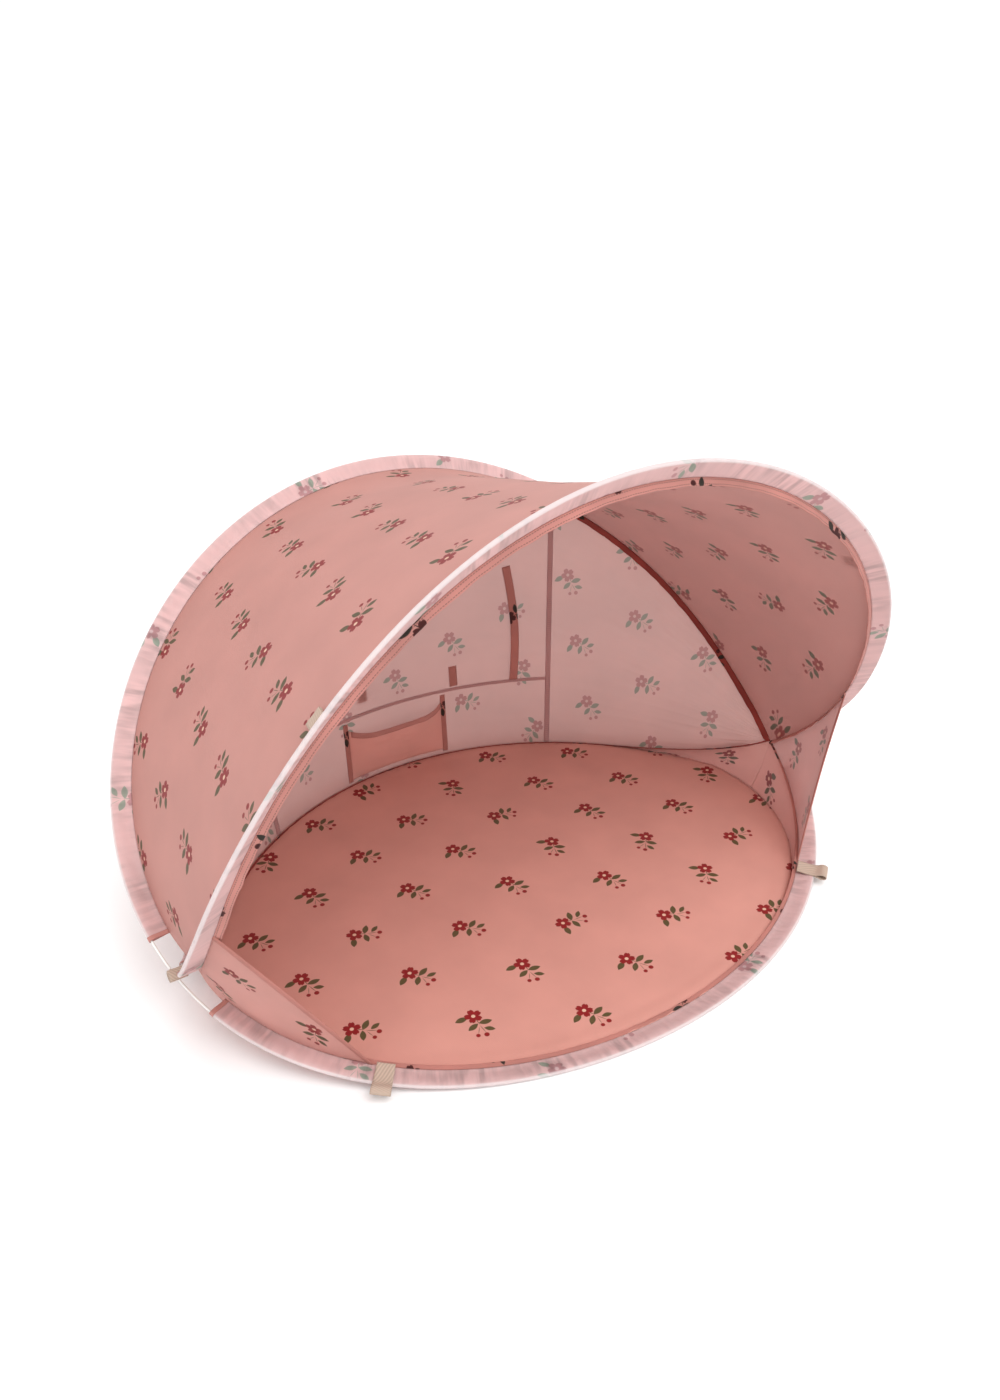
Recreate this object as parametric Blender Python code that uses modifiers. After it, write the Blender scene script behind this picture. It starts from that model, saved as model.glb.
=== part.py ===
"""Child's pop-up beach tent: two crossed spring-wire hoops, each in a cloth sleeve,
with a canopy, a back wall, a floor and side panels stretched between them.

Metres, +Z up, -Y is the open front. The origin is on the ground, in the middle of the
outline. Each hoop lies half on the ground and half in the air: it is an ellipse drawn on
a flat sheet, and the sheet is then bent up along a side profile.
"""
import math
from dataclasses import dataclass

import bpy
from mathutils import Vector

# Wire, cloth and the gaps between touching pieces
WIRE_RADIUS = 0.00175
CLOTH = 0.0005
GAP = 0.0003
SEAM_GAP = 0.0012
SIDE_GAP = 0.0018
FLOOR_GAP = 0.0009
FERRULE_WALL = 0.00035
FERRULE_LENGTH = 0.022
FERRULE_SHARE = 0.62
FERRULE_CLEARANCE = 0.0003

# Sleeves: width from the wire to the seam, and the bare wire left at each crossing
SLEEVE_WIDTH = 0.027
FRONT_GROUND_BARE = 0.075
REAR_ARCH_BARE = 0.060
REAR_GROUND_BARE = 0.060
FRONT_ARCH_BARE = 0.016

# How far the canopy pulls each arch's sleeve off its hoop's sheet, and how soon past a crossing
REAR_ARCH_LEAN = math.radians(30)
FRONT_ARCH_LEAN = math.radians(40)
LEAN_RAMP = math.radians(50)

# Webbing wraps that hold the wires together where the hoops cross
STRAP_WIDTH = 0.025
STRAP_RADIUS = 0.009

# Back hoop: it lies on the ground in front and rises behind
BACK_HALF_WIDTH = 0.600
BACK_HALF_LENGTH = 0.556
BACK_MIDDLE = 0.117
BACK_EGG_SHARE = -0.055
BACK_FOOT_ANGLE = math.radians(39.2)
BACK_FOOT_RADIUS = 0.857
BACK_CORNER = -0.134
BACK_TOP_RADIUS = 1.400

# Front hoop: it lies on the ground behind and rises in front
FRONT_HALF_WIDTH = 0.594
FRONT_HALF_LENGTH = 0.617
FRONT_MIDDLE = 0.206
FRONT_EGG_SHARE = 0.010
FRONT_FOOT_ANGLE = math.radians(64.7)
FRONT_FOOT_RADIUS = 0.506
FRONT_CORNER = 0.080
FRONT_TOP_RADIUS = 0.919

# Floor: how far its side lies inside the crossing of the seams
FLOOR_SIDE_INSET = 0.032
FLOOR_THICKNESS = 0.0008
GUSSET_START_GAP = 0.010
FOLD_GAP = 0.0006

# Side wings: triangles between the front arch and the ground, with a taut hem
WING_TOP_ANGLE = math.radians(7.5)
WING_FOOT_ANGLE = math.radians(-47.5)
WING_START_SHARE = 0.08
HEM_WIDTH = 0.008
HEM_THICKNESS = 0.0012

# Webbing loops
WEBBING_WIDTH = 0.025
WEBBING_THICKNESS = 0.001
PEG_LOOP_ANGLE = math.radians(-49.6)
PEG_LOOP_REACH = 0.022
PEG_LOOP_EYE = 0.005
PEG_LOOP_SHARES = ((0.4, -0.3), (0.7, -0.5), (0.95, 0.0), (1.0, 0.6), (0.9, 1.1), (0.6, 1.3))
ARCH_LOOP_ANGLE = math.radians(41.0)
ARCH_LOOP_LENGTH = 0.030
ARCH_LOOP_EYE = 0.004
ARCH_LOOP_START = 0.0036
ARCH_LOOP_SHARES = ((0.4, 0.0), (0.85, 0.0), (1.0, 0.5), (0.9, 1.0), (0.6, 0.7))

# Back wall: vent flap between two upright seams, above a level seam. Its threads draw in
# towards the middle on their way up by this share of the arch.
WALL_DRAW_SHARE = 0.026
FLAP_HALF_WIDTH = 0.303
FLAP_HEIGHT = 0.138
TAPE_WIDTH = 0.010
TAPE_THICKNESS = 0.0006
TAPE_GAP = 0.0006
TAPE_END_GAP = 0.0036
PANEL_JOIN_GAP = 0.0012

# Ribbons and pocket on the back wall: distance from the middle (+ is right) and heights
RIBBON_THICKNESS = 0.0006
LONG_TIE_WIDTH = 0.016
LONG_TIE_PLACE = 0.243
LONG_TIE_TOP = 0.370
LONG_TIE_END = 0.150
LONG_TIE_HANG = 0.006
SHORT_TIE_WIDTH = 0.016
SHORT_TIE_PLACE = 0.123
SHORT_TIE_TOP = 0.186
SHORT_TIE_END = 0.145
OUTER_TIE_WIDTH = 0.020
OUTER_TIE_PLACE = -0.067
OUTER_TIE_TOP = 0.218
OUTER_TIE_END = 0.160
POCKET_HALF_WIDTH = 0.101
POCKET_MIDDLE = -0.006
POCKET_TOP = 0.116
POCKET_BOTTOM = 0.012
POCKET_DEPTH = 0.028
POCKET_SAG = 0.010
POCKET_HEM_HEIGHT = 0.012
POCKET_HEM_INSET = 0.030
BINDING_WIDTH = 0.010
BINDING_TOP = 0.130

# Canopy: how far it dips between the arches, and the fold behind the rear arch's top
CANOPY_DIP = 0.016
VALLEY_DEPTH = 0.007
VALLEY_PLACE_SHARE = 0.12
VALLEY_WIDTH_SHARE = 0.10

# Counts
STATIONS = 40
FINE_STEPS = 600
CORNER_STEPS = 3
SLEEVE_BENDS = 4
CANOPY_ROWS = 6
WALL_ROWS = 5
WING_COLUMNS = 10
WING_ROWS = 5
GUSSET_ROWS = 3
TAPE_STEPS = 8
TIE_STEPS = 3
FLOOR_POINTS = 96
STRAP_SIDES = 24
FERRULE_SIDES = 12
POCKET_COLUMNS = 12
POCKET_ROWS = 6
BISECTIONS = 60
MERGE_DISTANCE = 0.00001
CORNER_SHARE = 0.010
WALL_END_SHARE = 0.2
ARCH_END_SHARE = 0.85
RISE_STEP_SHARE = 0.05
TURN_STEP = math.radians(1)


@dataclass
class Hoop:
    """One closed wire: an egg-shaped ellipse on a sheet that is bent up at the foot."""

    half_width: float
    half_length: float
    middle: float
    egg_share: float
    foot_angle: float
    foot_radius: float
    corner: float
    top_radius: float
    side: float
    lean: float


BACK_HOOP = Hoop(BACK_HALF_WIDTH, BACK_HALF_LENGTH, BACK_MIDDLE, BACK_EGG_SHARE, BACK_FOOT_ANGLE,
                 BACK_FOOT_RADIUS, BACK_CORNER, BACK_TOP_RADIUS, 1.0, REAR_ARCH_LEAN)
FRONT_HOOP = Hoop(FRONT_HALF_WIDTH, FRONT_HALF_LENGTH, FRONT_MIDDLE, FRONT_EGG_SHARE, FRONT_FOOT_ANGLE,
                  FRONT_FOOT_RADIUS, FRONT_CORNER, FRONT_TOP_RADIUS, -1.0, FRONT_ARCH_LEAN)

CHANNEL_RADIUS = WIRE_RADIUS + FERRULE_CLEARANCE + FERRULE_WALL + GAP
SLEEVE_RADIUS = CHANNEL_RADIUS + CLOTH / 2
WIRE_HEIGHT = SLEEVE_RADIUS + CLOTH / 2
SEAM_LAYERS = CLOTH + GAP
SEAM_LEVEL = -SLEEVE_RADIUS + SEAM_LAYERS / 2
TAPE_LIFT = CLOTH / 2 + TAPE_GAP + TAPE_THICKNESS / 2
RIBBON_LIFT = CLOTH / 2 + GAP + RIBBON_THICKNESS / 2
PEG_LOOP_LIFT = SLEEVE_RADIUS + CLOTH / 2 + GAP + WEBBING_THICKNESS / 2
ARCH_LOOP_LIFT = CLOTH / 2 + GAP + WEBBING_THICKNESS / 2


def bisect(function, low, high):
    """Return where a function that changes sign between low and high is zero."""
    low_value = function(low)
    for _ in range(BISECTIONS):
        middle = (low + high) / 2
        value = function(middle)
        if (value > 0) == (low_value > 0):
            low = middle
        else:
            high = middle
    return (low + high) / 2


def slope(hoop, v):
    """Angle of the bent sheet above the ground at developed place v."""
    start = hoop.corner - hoop.foot_radius * math.tan(hoop.foot_angle / 2)
    end = start + hoop.foot_radius * hoop.foot_angle
    if v <= start:
        return 0.0
    if v <= end:
        return (v - start) / hoop.foot_radius
    return hoop.foot_angle + (v - end) / hoop.top_radius


def profile(hoop, v):
    """Side profile: ground line, tight arc at the foot, wide arc above. Gives y and z."""
    start = hoop.corner - hoop.foot_radius * math.tan(hoop.foot_angle / 2)
    angle = slope(hoop, v)
    if angle == 0.0:
        return hoop.side * v, WIRE_HEIGHT
    foot = min(angle, hoop.foot_angle)
    y = start + hoop.foot_radius * math.sin(foot)
    z = hoop.foot_radius * (1 - math.cos(foot))
    if angle > hoop.foot_angle:
        y += hoop.top_radius * (math.sin(angle) - math.sin(hoop.foot_angle))
        z += hoop.top_radius * (math.cos(hoop.foot_angle) - math.cos(angle))
    return hoop.side * y, z + WIRE_HEIGHT


def developed(hoop, phi, inset=0.0):
    """Place of the wire on the flat sheet, moved inwards by inset."""
    u = hoop.half_width * math.cos(phi) * (1 + hoop.egg_share * math.sin(phi))
    v = hoop.middle + hoop.half_length * math.sin(phi)
    across = hoop.half_width * (hoop.egg_share * math.cos(2 * phi) - math.sin(phi))
    along = hoop.half_length * math.cos(phi)
    length = math.hypot(across, along)
    return u - inset * along / length, v + inset * across / length


def sheet_place(hoop, y):
    """Developed place of the sheet over y near its foot."""
    return bisect(lambda value: profile(hoop, value)[0] * hoop.side - y * hoop.side,
                  -hoop.half_length, hoop.half_length)


def height_over(hoop, y):
    """Height of the hoop's bent sheet over the place y near its foot."""
    return profile(hoop, sheet_place(hoop, y))[1]


def phi_at(hoop, v, inset=0.0):
    """Angle on the right half at which the curve reaches developed place v."""
    return bisect(lambda phi: developed(hoop, phi, inset)[1] - v, -math.pi / 2, math.pi / 2)


# The two bent sheets meet in one straight line, which is the axis that the tent folds on
AXIS_Y = bisect(lambda y: height_over(BACK_HOOP, y) - height_over(FRONT_HOOP, y),
                BACK_HOOP.corner, FRONT_HOOP.corner)
AXIS_Z = height_over(BACK_HOOP, AXIS_Y)
AXIS = Vector((0, AXIS_Y, AXIS_Z))


def crossing_phi(hoop, inset=0.0):
    """Right-hand angle at which the hoop, or its seam, passes the fold axis."""
    return phi_at(hoop, sheet_place(hoop, AXIS_Y), inset)


CROSSINGS = {hoop.side: crossing_phi(hoop) for hoop in (BACK_HOOP, FRONT_HOOP)}


def sleeve_lean(hoop, phi):
    """How far the sleeve leans off the bent sheet: not at all on the ground, most high on the arch."""
    right = CROSSINGS[hoop.side]
    past = min(phi - right, math.pi - right - phi)
    share = min(max(past / LEAN_RAMP, 0.0), 1.0)
    return hoop.lean * share * share * (3 - 2 * share)


def hoop_point(hoop, phi, inset=0.0, lift=0.0):
    """Point at the hoop, moved inwards along the sleeve and lifted off it."""
    lean = sleeve_lean(hoop, phi)
    inwards = inset * math.cos(lean) - lift * math.sin(lean)
    off = inset * math.sin(lean) + lift * math.cos(lean)
    u, v = developed(hoop, phi, inwards)
    y, z = profile(hoop, v)
    angle = slope(hoop, v)
    return Vector((u, y - hoop.side * off * math.sin(angle), z + off * math.cos(angle)))


def arc_phi(hoop, upper, share, inset=0.0):
    """Angle at a share of the way from the left crossing to the right one."""
    right = crossing_phi(hoop, inset)
    left = math.pi - right
    end = right if upper else right + 2 * math.pi
    return left + share * (end - left)


def even_angles(hoop, upper, clear, count):
    """Angles evenly spaced along the wire, from clear past one crossing to the other."""
    right = crossing_phi(hoop)
    left = math.pi - right
    end = right if upper else right + 2 * math.pi
    angles = [left + (end - left) * i / FINE_STEPS for i in range(FINE_STEPS + 1)]
    points = [hoop_point(hoop, angle) for angle in angles]
    lengths = [0.0]
    for a, b in zip(points, points[1:]):
        lengths.append(lengths[-1] + (b - a).length)
    result = []
    place = 0
    for i in range(count + 1):
        wanted = clear + (lengths[-1] - 2 * clear) * i / count
        while lengths[place + 1] < wanted:
            place += 1
        part = (wanted - lengths[place]) / (lengths[place + 1] - lengths[place])
        result.append(angles[place] + part * (angles[place + 1] - angles[place]))
    return result


def seam_points(hoop, upper, bare):
    """Points along the sleeve's inner seam: the bare corners, and the sleeve's stations."""
    stations = even_angles(hoop, upper, bare, STATIONS)
    first = arc_phi(hoop, upper, CORNER_SHARE, SLEEVE_WIDTH)
    last = arc_phi(hoop, upper, 1 - CORNER_SHARE, SLEEVE_WIDTH)
    angles = [first + (stations[0] - first) * i / CORNER_STEPS for i in range(CORNER_STEPS)]
    angles += stations
    angles += [stations[-1] + (last - stations[-1]) * (i + 1) / CORNER_STEPS
               for i in range(CORNER_STEPS)]
    return [hoop_point(hoop, angle, SLEEVE_WIDTH, SEAM_LEVEL) for angle in angles]


REAR_ARCH_SEAM = seam_points(BACK_HOOP, True, REAR_ARCH_BARE)
FRONT_ARCH_SEAM = seam_points(FRONT_HOOP, True, FRONT_ARCH_BARE)
REAR_GROUND_SEAM = seam_points(FRONT_HOOP, False, REAR_GROUND_BARE)
SEAM_STEPS = len(REAR_ARCH_SEAM) - 1


def along_seam(seam, share):
    """Point at a share of the seam's stations, from the left crossing to the right one."""
    place = share * SEAM_STEPS
    i = max(0, min(int(place), SEAM_STEPS - 1))
    return seam[i] + (seam[i + 1] - seam[i]) * (place - i)


def edge_share(seam, share, far, gap):
    """Share of the way to a far point that keeps the cloth a gap away from this seam."""
    here = along_seam(seam, share)
    step = 1 / (2 * SEAM_STEPS)
    along = (along_seam(seam, share + step) - along_seam(seam, share - step)).normalized()
    return gap / (far - here).cross(along).length


def clear_scene():
    """Remove every object that is in the scene."""
    for obj in list(bpy.data.objects):
        bpy.data.objects.remove(obj, do_unlink=True)


def make_material(name, colour, roughness, metallic=0.0):
    """A Principled material of one colour."""
    material = bpy.data.materials.new(name)
    material.use_nodes = True
    shader = material.node_tree.nodes["Principled BSDF"]
    shader.inputs["Base Color"].default_value = (*colour, 1.0)
    shader.inputs["Roughness"].default_value = roughness
    shader.inputs["Metallic"].default_value = metallic
    material.diffuse_color = (*colour, 1.0)
    return material


COLOURS = {
    "wire": ((0.78, 0.78, 0.76), 0.35, 0.9),
    "ferrule": ((0.55, 0.55, 0.56), 0.4, 0.9),
    "sleeve": ((0.78, 0.56, 0.56), 0.8, 0.0),
    "canopy": ((0.62, 0.30, 0.25), 0.85, 0.0),
    "wall": ((0.60, 0.36, 0.32), 0.85, 0.0),
    "floor": ((0.66, 0.33, 0.27), 0.8, 0.0),
    "side": ((0.52, 0.25, 0.21), 0.85, 0.0),
    "trim": ((0.38, 0.13, 0.11), 0.85, 0.0),
    "webbing": ((0.45, 0.34, 0.25), 0.9, 0.0),
    "pocket": ((0.50, 0.22, 0.18), 0.85, 0.0),
}


def finish(obj, name, colour, pivot):
    """Name an object, give it its own material and hang it on its pivot."""
    obj.name = name
    obj.data.name = name
    obj.data.materials.clear()
    obj.data.materials.append(make_material(name, *COLOURS[colour]))
    if name not in PARTS.objects:
        PARTS.objects.link(obj)
    if pivot is not None:
        obj.parent = pivot
        obj.matrix_parent_inverse = pivot.matrix_world.inverted()
    return obj


def pivot_at(name, place, parent=None):
    """An empty on a joint's axis."""
    pivot = bpy.data.objects.new(name, None)
    pivot.empty_display_size = STRAP_WIDTH
    pivot.location = place
    PARTS.objects.link(pivot)
    if parent is not None:
        pivot.parent = parent
        pivot.matrix_parent_inverse = parent.matrix_world.inverted()
    bpy.context.view_layer.update()
    return pivot


def loft(name, rows, thickness, colour, pivot):
    """A cloth panel: a grid of points, made thick on both sides."""
    columns = len(rows[0])
    verts = [point for row in rows for point in row]
    faces = []
    for r in range(len(rows) - 1):
        for c in range(columns - 1):
            a = r * columns + c
            faces.append((a, a + 1, a + columns + 1, a + columns))
    mesh = bpy.data.meshes.new(name)
    mesh.from_pydata(verts, [], faces)
    mesh.shade_smooth()
    obj = bpy.data.objects.new(name, mesh)
    solid = obj.modifiers.new("thickness", "SOLIDIFY")
    solid.thickness = thickness
    solid.offset = 0.0
    return finish(obj, name, colour, pivot)


def blend(a, b, share):
    """A point part of the way from a to b."""
    return a + (b - a) * share


def between(a, b, rows, gap_a, gap_b):
    """Points from a to b, kept a gap away from each end."""
    span = (b - a).length
    start = gap_a / span
    end = 1 - gap_b / span
    return [blend(a, b, start + (end - start) * i / rows) for i in range(rows + 1)]


def column_shares(low, high, columns):
    """Evenly spaced shares from low to high."""
    return [low + (high - low) * i / columns for i in range(columns + 1)]


def wire(name, hoop, upper, bare, pivot):
    """Half of a hoop: a round wire from one crossing wrap to the other."""
    reach = STRAP_RADIUS + GAP + WIRE_RADIUS / 2
    end = even_angles(hoop, upper, reach, 1)[-1]
    distance = (hoop_point(hoop, end) - AXIS).yz.length
    end = even_angles(hoop, upper, reach * reach / distance, 1)[-1]
    angles = [math.pi - end if upper else 3 * math.pi - end]
    angles += even_angles(hoop, upper, bare, STATIONS)
    path = [hoop_point(hoop, angle) for angle in [*angles, end]]
    curve = bpy.data.curves.new(name, "CURVE")
    curve.dimensions = "3D"
    curve.bevel_depth = WIRE_RADIUS
    curve.bevel_resolution = 2
    curve.use_fill_caps = True
    spline = curve.splines.new("POLY")
    spline.points.add(len(path) - 1)
    for point, place in zip(spline.points, path):
        point.co = (*place, 1.0)
    return finish(bpy.data.objects.new(name, curve), name, "wire", pivot)


def sleeve_section():
    """The folded strip's section: under the wire, round it, and back to the seam."""
    section = [(SLEEVE_WIDTH, -SLEEVE_RADIUS)]
    for i in range(SLEEVE_BENDS + 1):
        turn = math.pi * i / SLEEVE_BENDS
        section.append((-SLEEVE_RADIUS * math.sin(turn), -SLEEVE_RADIUS * math.cos(turn)))
    section.append((SLEEVE_WIDTH, -SLEEVE_RADIUS + SEAM_LAYERS))
    return section


def sleeve(name, hoop, upper, bare, pivot):
    """Cloth sleeve folded round the wire and closed at its inner seam."""
    rows = []
    for inset, lift in sleeve_section():
        angles = even_angles(hoop, upper, bare, STATIONS)
        rows.append([hoop_point(hoop, angle, inset, lift) for angle in angles])
    return loft(name, rows, CLOTH, "sleeve", pivot)


def ferrule(name, hoop, upper, bare, pivot):
    """Crimped tube that joins the wire's two ends into a closed hoop."""
    station = int(FERRULE_SHARE * STATIONS)
    angles = even_angles(hoop, upper, bare, STATIONS)
    before = hoop_point(hoop, angles[station])
    after = hoop_point(hoop, angles[station + 1])
    place = (before + after) / 2
    along = (after - before).normalized()
    inner = WIRE_RADIUS + FERRULE_CLEARANCE
    outer = inner + FERRULE_WALL
    half = FERRULE_LENGTH / 2
    outline = [(outer, half), (outer, -half), (inner, -half), (inner, half), (outer, half)]
    mesh = bpy.data.meshes.new(name)
    mesh.from_pydata([(x, 0, z) for x, z in outline], [(i, i + 1) for i in range(4)], [])
    obj = bpy.data.objects.new(name, mesh)
    turned = obj.modifiers.new("turned", "SCREW")
    turned.steps = FERRULE_SIDES
    turned.render_steps = FERRULE_SIDES
    turned.use_merge_vertices = True
    turned.merge_threshold = MERGE_DISTANCE
    weld = obj.modifiers.new("weld", "WELD")
    weld.merge_threshold = MERGE_DISTANCE
    obj.rotation_mode = "QUATERNION"
    obj.location = place
    obj.rotation_quaternion = along.to_track_quat("Z", "Y")
    return finish(obj, name, "ferrule", pivot)


def strap(name, side, pivot):
    """Webbing wrapped round both wires where they cross."""
    right = (hoop_point(BACK_HOOP, crossing_phi(BACK_HOOP)).x
             + hoop_point(FRONT_HOOP, crossing_phi(FRONT_HOOP)).x) / 2
    bpy.ops.mesh.primitive_cylinder_add(vertices=STRAP_SIDES, radius=STRAP_RADIUS,
                                        depth=STRAP_WIDTH, location=(side * right, AXIS_Y, AXIS_Z),
                                        rotation=(0, math.pi / 2, 0))
    obj = bpy.context.object
    obj.data.shade_smooth()
    for collection in list(obj.users_collection):
        collection.objects.unlink(obj)
    return finish(obj, name, "webbing", pivot)


SEAM_ENDS = {hoop.side: crossing_phi(hoop, SLEEVE_WIDTH) for hoop in (BACK_HOOP, FRONT_HOOP)}


def phi_of_x(hoop, x):
    """Angle on the right at which the ground seam passes the place x."""
    past_middle = -math.pi * 2 / 3
    return bisect(lambda value: hoop_point(hoop, value, SLEEVE_WIDTH).x - abs(x),
                  past_middle, SEAM_ENDS[hoop.side])


def seam_y(hoop, x):
    """Where the seam on the ground, or rising from it, lies over the place x."""
    return hoop_point(hoop, phi_of_x(hoop, x), SLEEVE_WIDTH).y


SEAM_CROSSING = hoop_point(FRONT_HOOP, SEAM_ENDS[FRONT_HOOP.side], SLEEVE_WIDTH)
FLOOR_HALF_WIDTH = SEAM_CROSSING.x - FLOOR_SIDE_INSET
FLOOR_FRONT = seam_y(BACK_HOOP, 0.0) + FLOOR_GAP
FLOOR_REAR = seam_y(FRONT_HOOP, 0.0) - FLOOR_GAP


def floor_edge(angle):
    """Point on the floor's oval outline, held inside both ground seams."""
    middle = (FLOOR_FRONT + FLOOR_REAR) / 2
    depth = (FLOOR_REAR - FLOOR_FRONT) / 2
    x = FLOOR_HALF_WIDTH * math.cos(angle)
    y = middle + depth * math.sin(angle)
    y = max(y, seam_y(BACK_HOOP, x) + FLOOR_GAP)
    y = min(y, seam_y(FRONT_HOOP, x) - FLOOR_GAP)
    return Vector((x, y, 0))


def floor_half(name, front, pivot):
    """Half of the floor, on its side of the fold line."""
    edge = [floor_edge(2 * math.pi * i / FLOOR_POINTS) for i in range(FLOOR_POINTS)]
    limit = AXIS_Y - FOLD_GAP / 2 if front else AXIS_Y + FOLD_GAP / 2
    sign = -1 if front else 1
    outline = []
    for a, b in zip(edge, edge[1:] + edge[:1]):
        if (a.y - limit) * sign > 0:
            outline.append(a)
        if (a.y - limit) * (b.y - limit) < 0:
            outline.append(blend(a, b, (limit - a.y) / (b.y - a.y)))
    curve = bpy.data.curves.new(name, "CURVE")
    curve.dimensions = "2D"
    curve.fill_mode = "BOTH"
    curve.extrude = FLOOR_THICKNESS / 2
    spline = curve.splines.new("POLY")
    spline.points.add(len(outline) - 1)
    for point, place in zip(spline.points, outline):
        point.co = (place.x, place.y, 0, 1.0)
    spline.use_cyclic_u = True
    obj = bpy.data.objects.new(name, curve)
    obj.location = (0, 0, FLOOR_THICKNESS / 2)
    return finish(obj, name, "floor", pivot)


def gusset(name, front, side, pivot):
    """Side panel from the floor's edge up to the ground seam and the crossing."""
    hoop = BACK_HOOP if front else FRONT_HOOP
    sign = -1 if front else 1
    limit = AXIS_Y + sign * FOLD_GAP
    middle = Vector((0, (FLOOR_FRONT + FLOOR_REAR) / 2, 0))
    fold_angle = floor_angle(limit)
    step = 2 * math.pi / FLOOR_POINTS
    angles = [fold_angle]
    angle = math.floor(fold_angle / step) * step if front else math.ceil(fold_angle / step) * step
    while seam_distance(hoop, floor_edge(angle)) > GUSSET_START_GAP:
        angles.append(angle)
        angle += sign * step
    angles.reverse()
    start = phi_of_x(hoop, floor_edge(angles[0]).x)
    end = crossing_phi(hoop, SLEEVE_WIDTH)
    rows = []
    for i, angle in enumerate(angles):
        low = floor_edge(angle)
        foot = low + (low - middle).normalized() * SEAM_GAP + Vector((0, 0, CLOTH))
        share = i / (len(angles) - 1)
        top = hoop_point(hoop, start + (end - start) * share, SLEEVE_WIDTH, SEAM_LEVEL)
        for point in (foot, top):
            if (point.y - limit) * sign < 0:
                point.y = limit
        row = between(foot, top, GUSSET_ROWS, 0.0, SIDE_GAP)
        rows.append([Vector((side * point.x, point.y, point.z)) for point in row])
    return loft(name, rows, CLOTH, "side", pivot)


def seam_distance(hoop, point):
    """How far the floor's edge lies from the ground seam at the same place x."""
    return (hoop_point(hoop, phi_of_x(hoop, point.x), SLEEVE_WIDTH) - point).length


def floor_angle(y):
    """Angle on the right of the floor's outline at which it passes y."""
    return bisect(lambda angle: floor_edge(angle).y - y, -math.pi / 4, math.pi / 4)


def canopy_point(share, rise):
    """Point of the canopy: share runs left to right, rise from rear arch to front arch."""
    rear = along_seam(REAR_ARCH_SEAM, share)
    front = along_seam(FRONT_ARCH_SEAM, share)
    point = blend(rear, front, rise)
    crown = math.sin(math.pi * share)
    dip = CANOPY_DIP * 4 * rise * (1 - rise) * crown ** 2
    valley = (rise - VALLEY_PLACE_SHARE) / VALLEY_WIDTH_SHARE
    dip += VALLEY_DEPTH * math.exp(-valley ** 2) * crown ** 8
    inside = (AXIS - Vector((0, point.y, point.z))).normalized()
    return point + inside * dip


def canopy(name, pivot):
    """The roof between the two arches."""
    rows = []
    for share in column_shares(0, 1, SEAM_STEPS):
        rear = along_seam(REAR_ARCH_SEAM, share)
        front = along_seam(FRONT_ARCH_SEAM, share)
        low = edge_share(REAR_ARCH_SEAM, share, front, SEAM_GAP)
        high = 1 - edge_share(FRONT_ARCH_SEAM, share, rear, SEAM_GAP)
        rows.append([canopy_point(share, rise) for rise in column_shares(low, high, CANOPY_ROWS)])
    return loft(name, rows, CLOTH, "canopy", pivot)


def drawn_in(share):
    """Share along the rear arch that the wall reaches from a share along the ground."""
    return share + WALL_DRAW_SHARE * math.sin(2 * math.pi * share)


def wall_point(share, rise, lift=0.0):
    """Point of the back wall: rise runs from the ground seam up to the rear arch."""
    low = along_seam(REAR_GROUND_SEAM, share)
    high = along_seam(REAR_ARCH_SEAM, drawn_in(share))
    point = blend(low, high, rise)
    if lift:
        step = 1 / (2 * SEAM_STEPS)
        across = wall_point(share + step, rise) - wall_point(share - step, rise)
        normal = across.cross(high - low).normalized()
        if normal.y > 0:
            normal.negate()
        point = point + normal * lift
    return point


def wall_rise(share, height):
    """Rise at which the wall reaches a height above the ground."""
    low = wall_point(share, 0.0).z
    high = wall_point(share, 1.0).z
    return (height - low) / (high - low)


def wall_share(place, height):
    """Share at which the wall reaches a sideways place, at a height."""
    return bisect(lambda share: wall_point(share, wall_rise(share, height)).x - place,
                  WALL_END_SHARE, 1 - WALL_END_SHARE)


def wall_columns(low_share, high_share):
    """Two end shares, and the seams' stations between them."""
    stations = [i / SEAM_STEPS for i in range(SEAM_STEPS + 1)]
    least = 1 / (4 * SEAM_STEPS)
    inner = [share for share in stations if low_share + least < share < high_share - least]
    return [low_share, *inner, high_share]


def wall_panel(name, low_share, high_share, bottom, top, colour, pivot):
    """Panel of the back wall between two shares and two edges given as functions."""
    rows = []
    for share in wall_columns(low_share, high_share):
        rises = column_shares(bottom(share), top(share), WALL_ROWS)
        rows.append([wall_point(share, rise) for rise in rises])
    return loft(name, rows, CLOTH, colour, pivot)


def low_edge(share, gap=SEAM_GAP):
    """Rise at which the wall's cloth starts above the ground seam."""
    return edge_share(REAR_GROUND_SEAM, share, wall_point(share, 1.0), gap)


def high_edge(share, gap=SEAM_GAP):
    """Rise at which the wall's cloth ends below the rear arch's seam."""
    return 1 - edge_share(REAR_ARCH_SEAM, drawn_in(share), wall_point(share, 0.0), gap)


def back_wall(pivot, arch_pivot):
    """Back wall: two side panels, a lower panel and the vent flap above it."""
    side = FLAP_SIDE_SHARE
    join = PANEL_JOIN_GAP / 2 / (2 * FLAP_HALF_WIDTH)
    wall_panel("back_wall_left", 0, side - join, low_edge, high_edge, "wall", pivot)
    wall_panel("back_wall_right", 1 - side + join, 1, low_edge, high_edge, "wall", pivot)
    wall_panel("back_wall_lower", side + join, 1 - side - join, low_edge,
               lambda share: wall_rise(share, FLAP_HEIGHT - PANEL_JOIN_GAP / 2), "wall", pivot)
    wall_panel("vent_flap", side + join, 1 - side - join,
               lambda share: wall_rise(share, FLAP_HEIGHT + PANEL_JOIN_GAP / 2),
               high_edge, "wall", arch_pivot)


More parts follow.
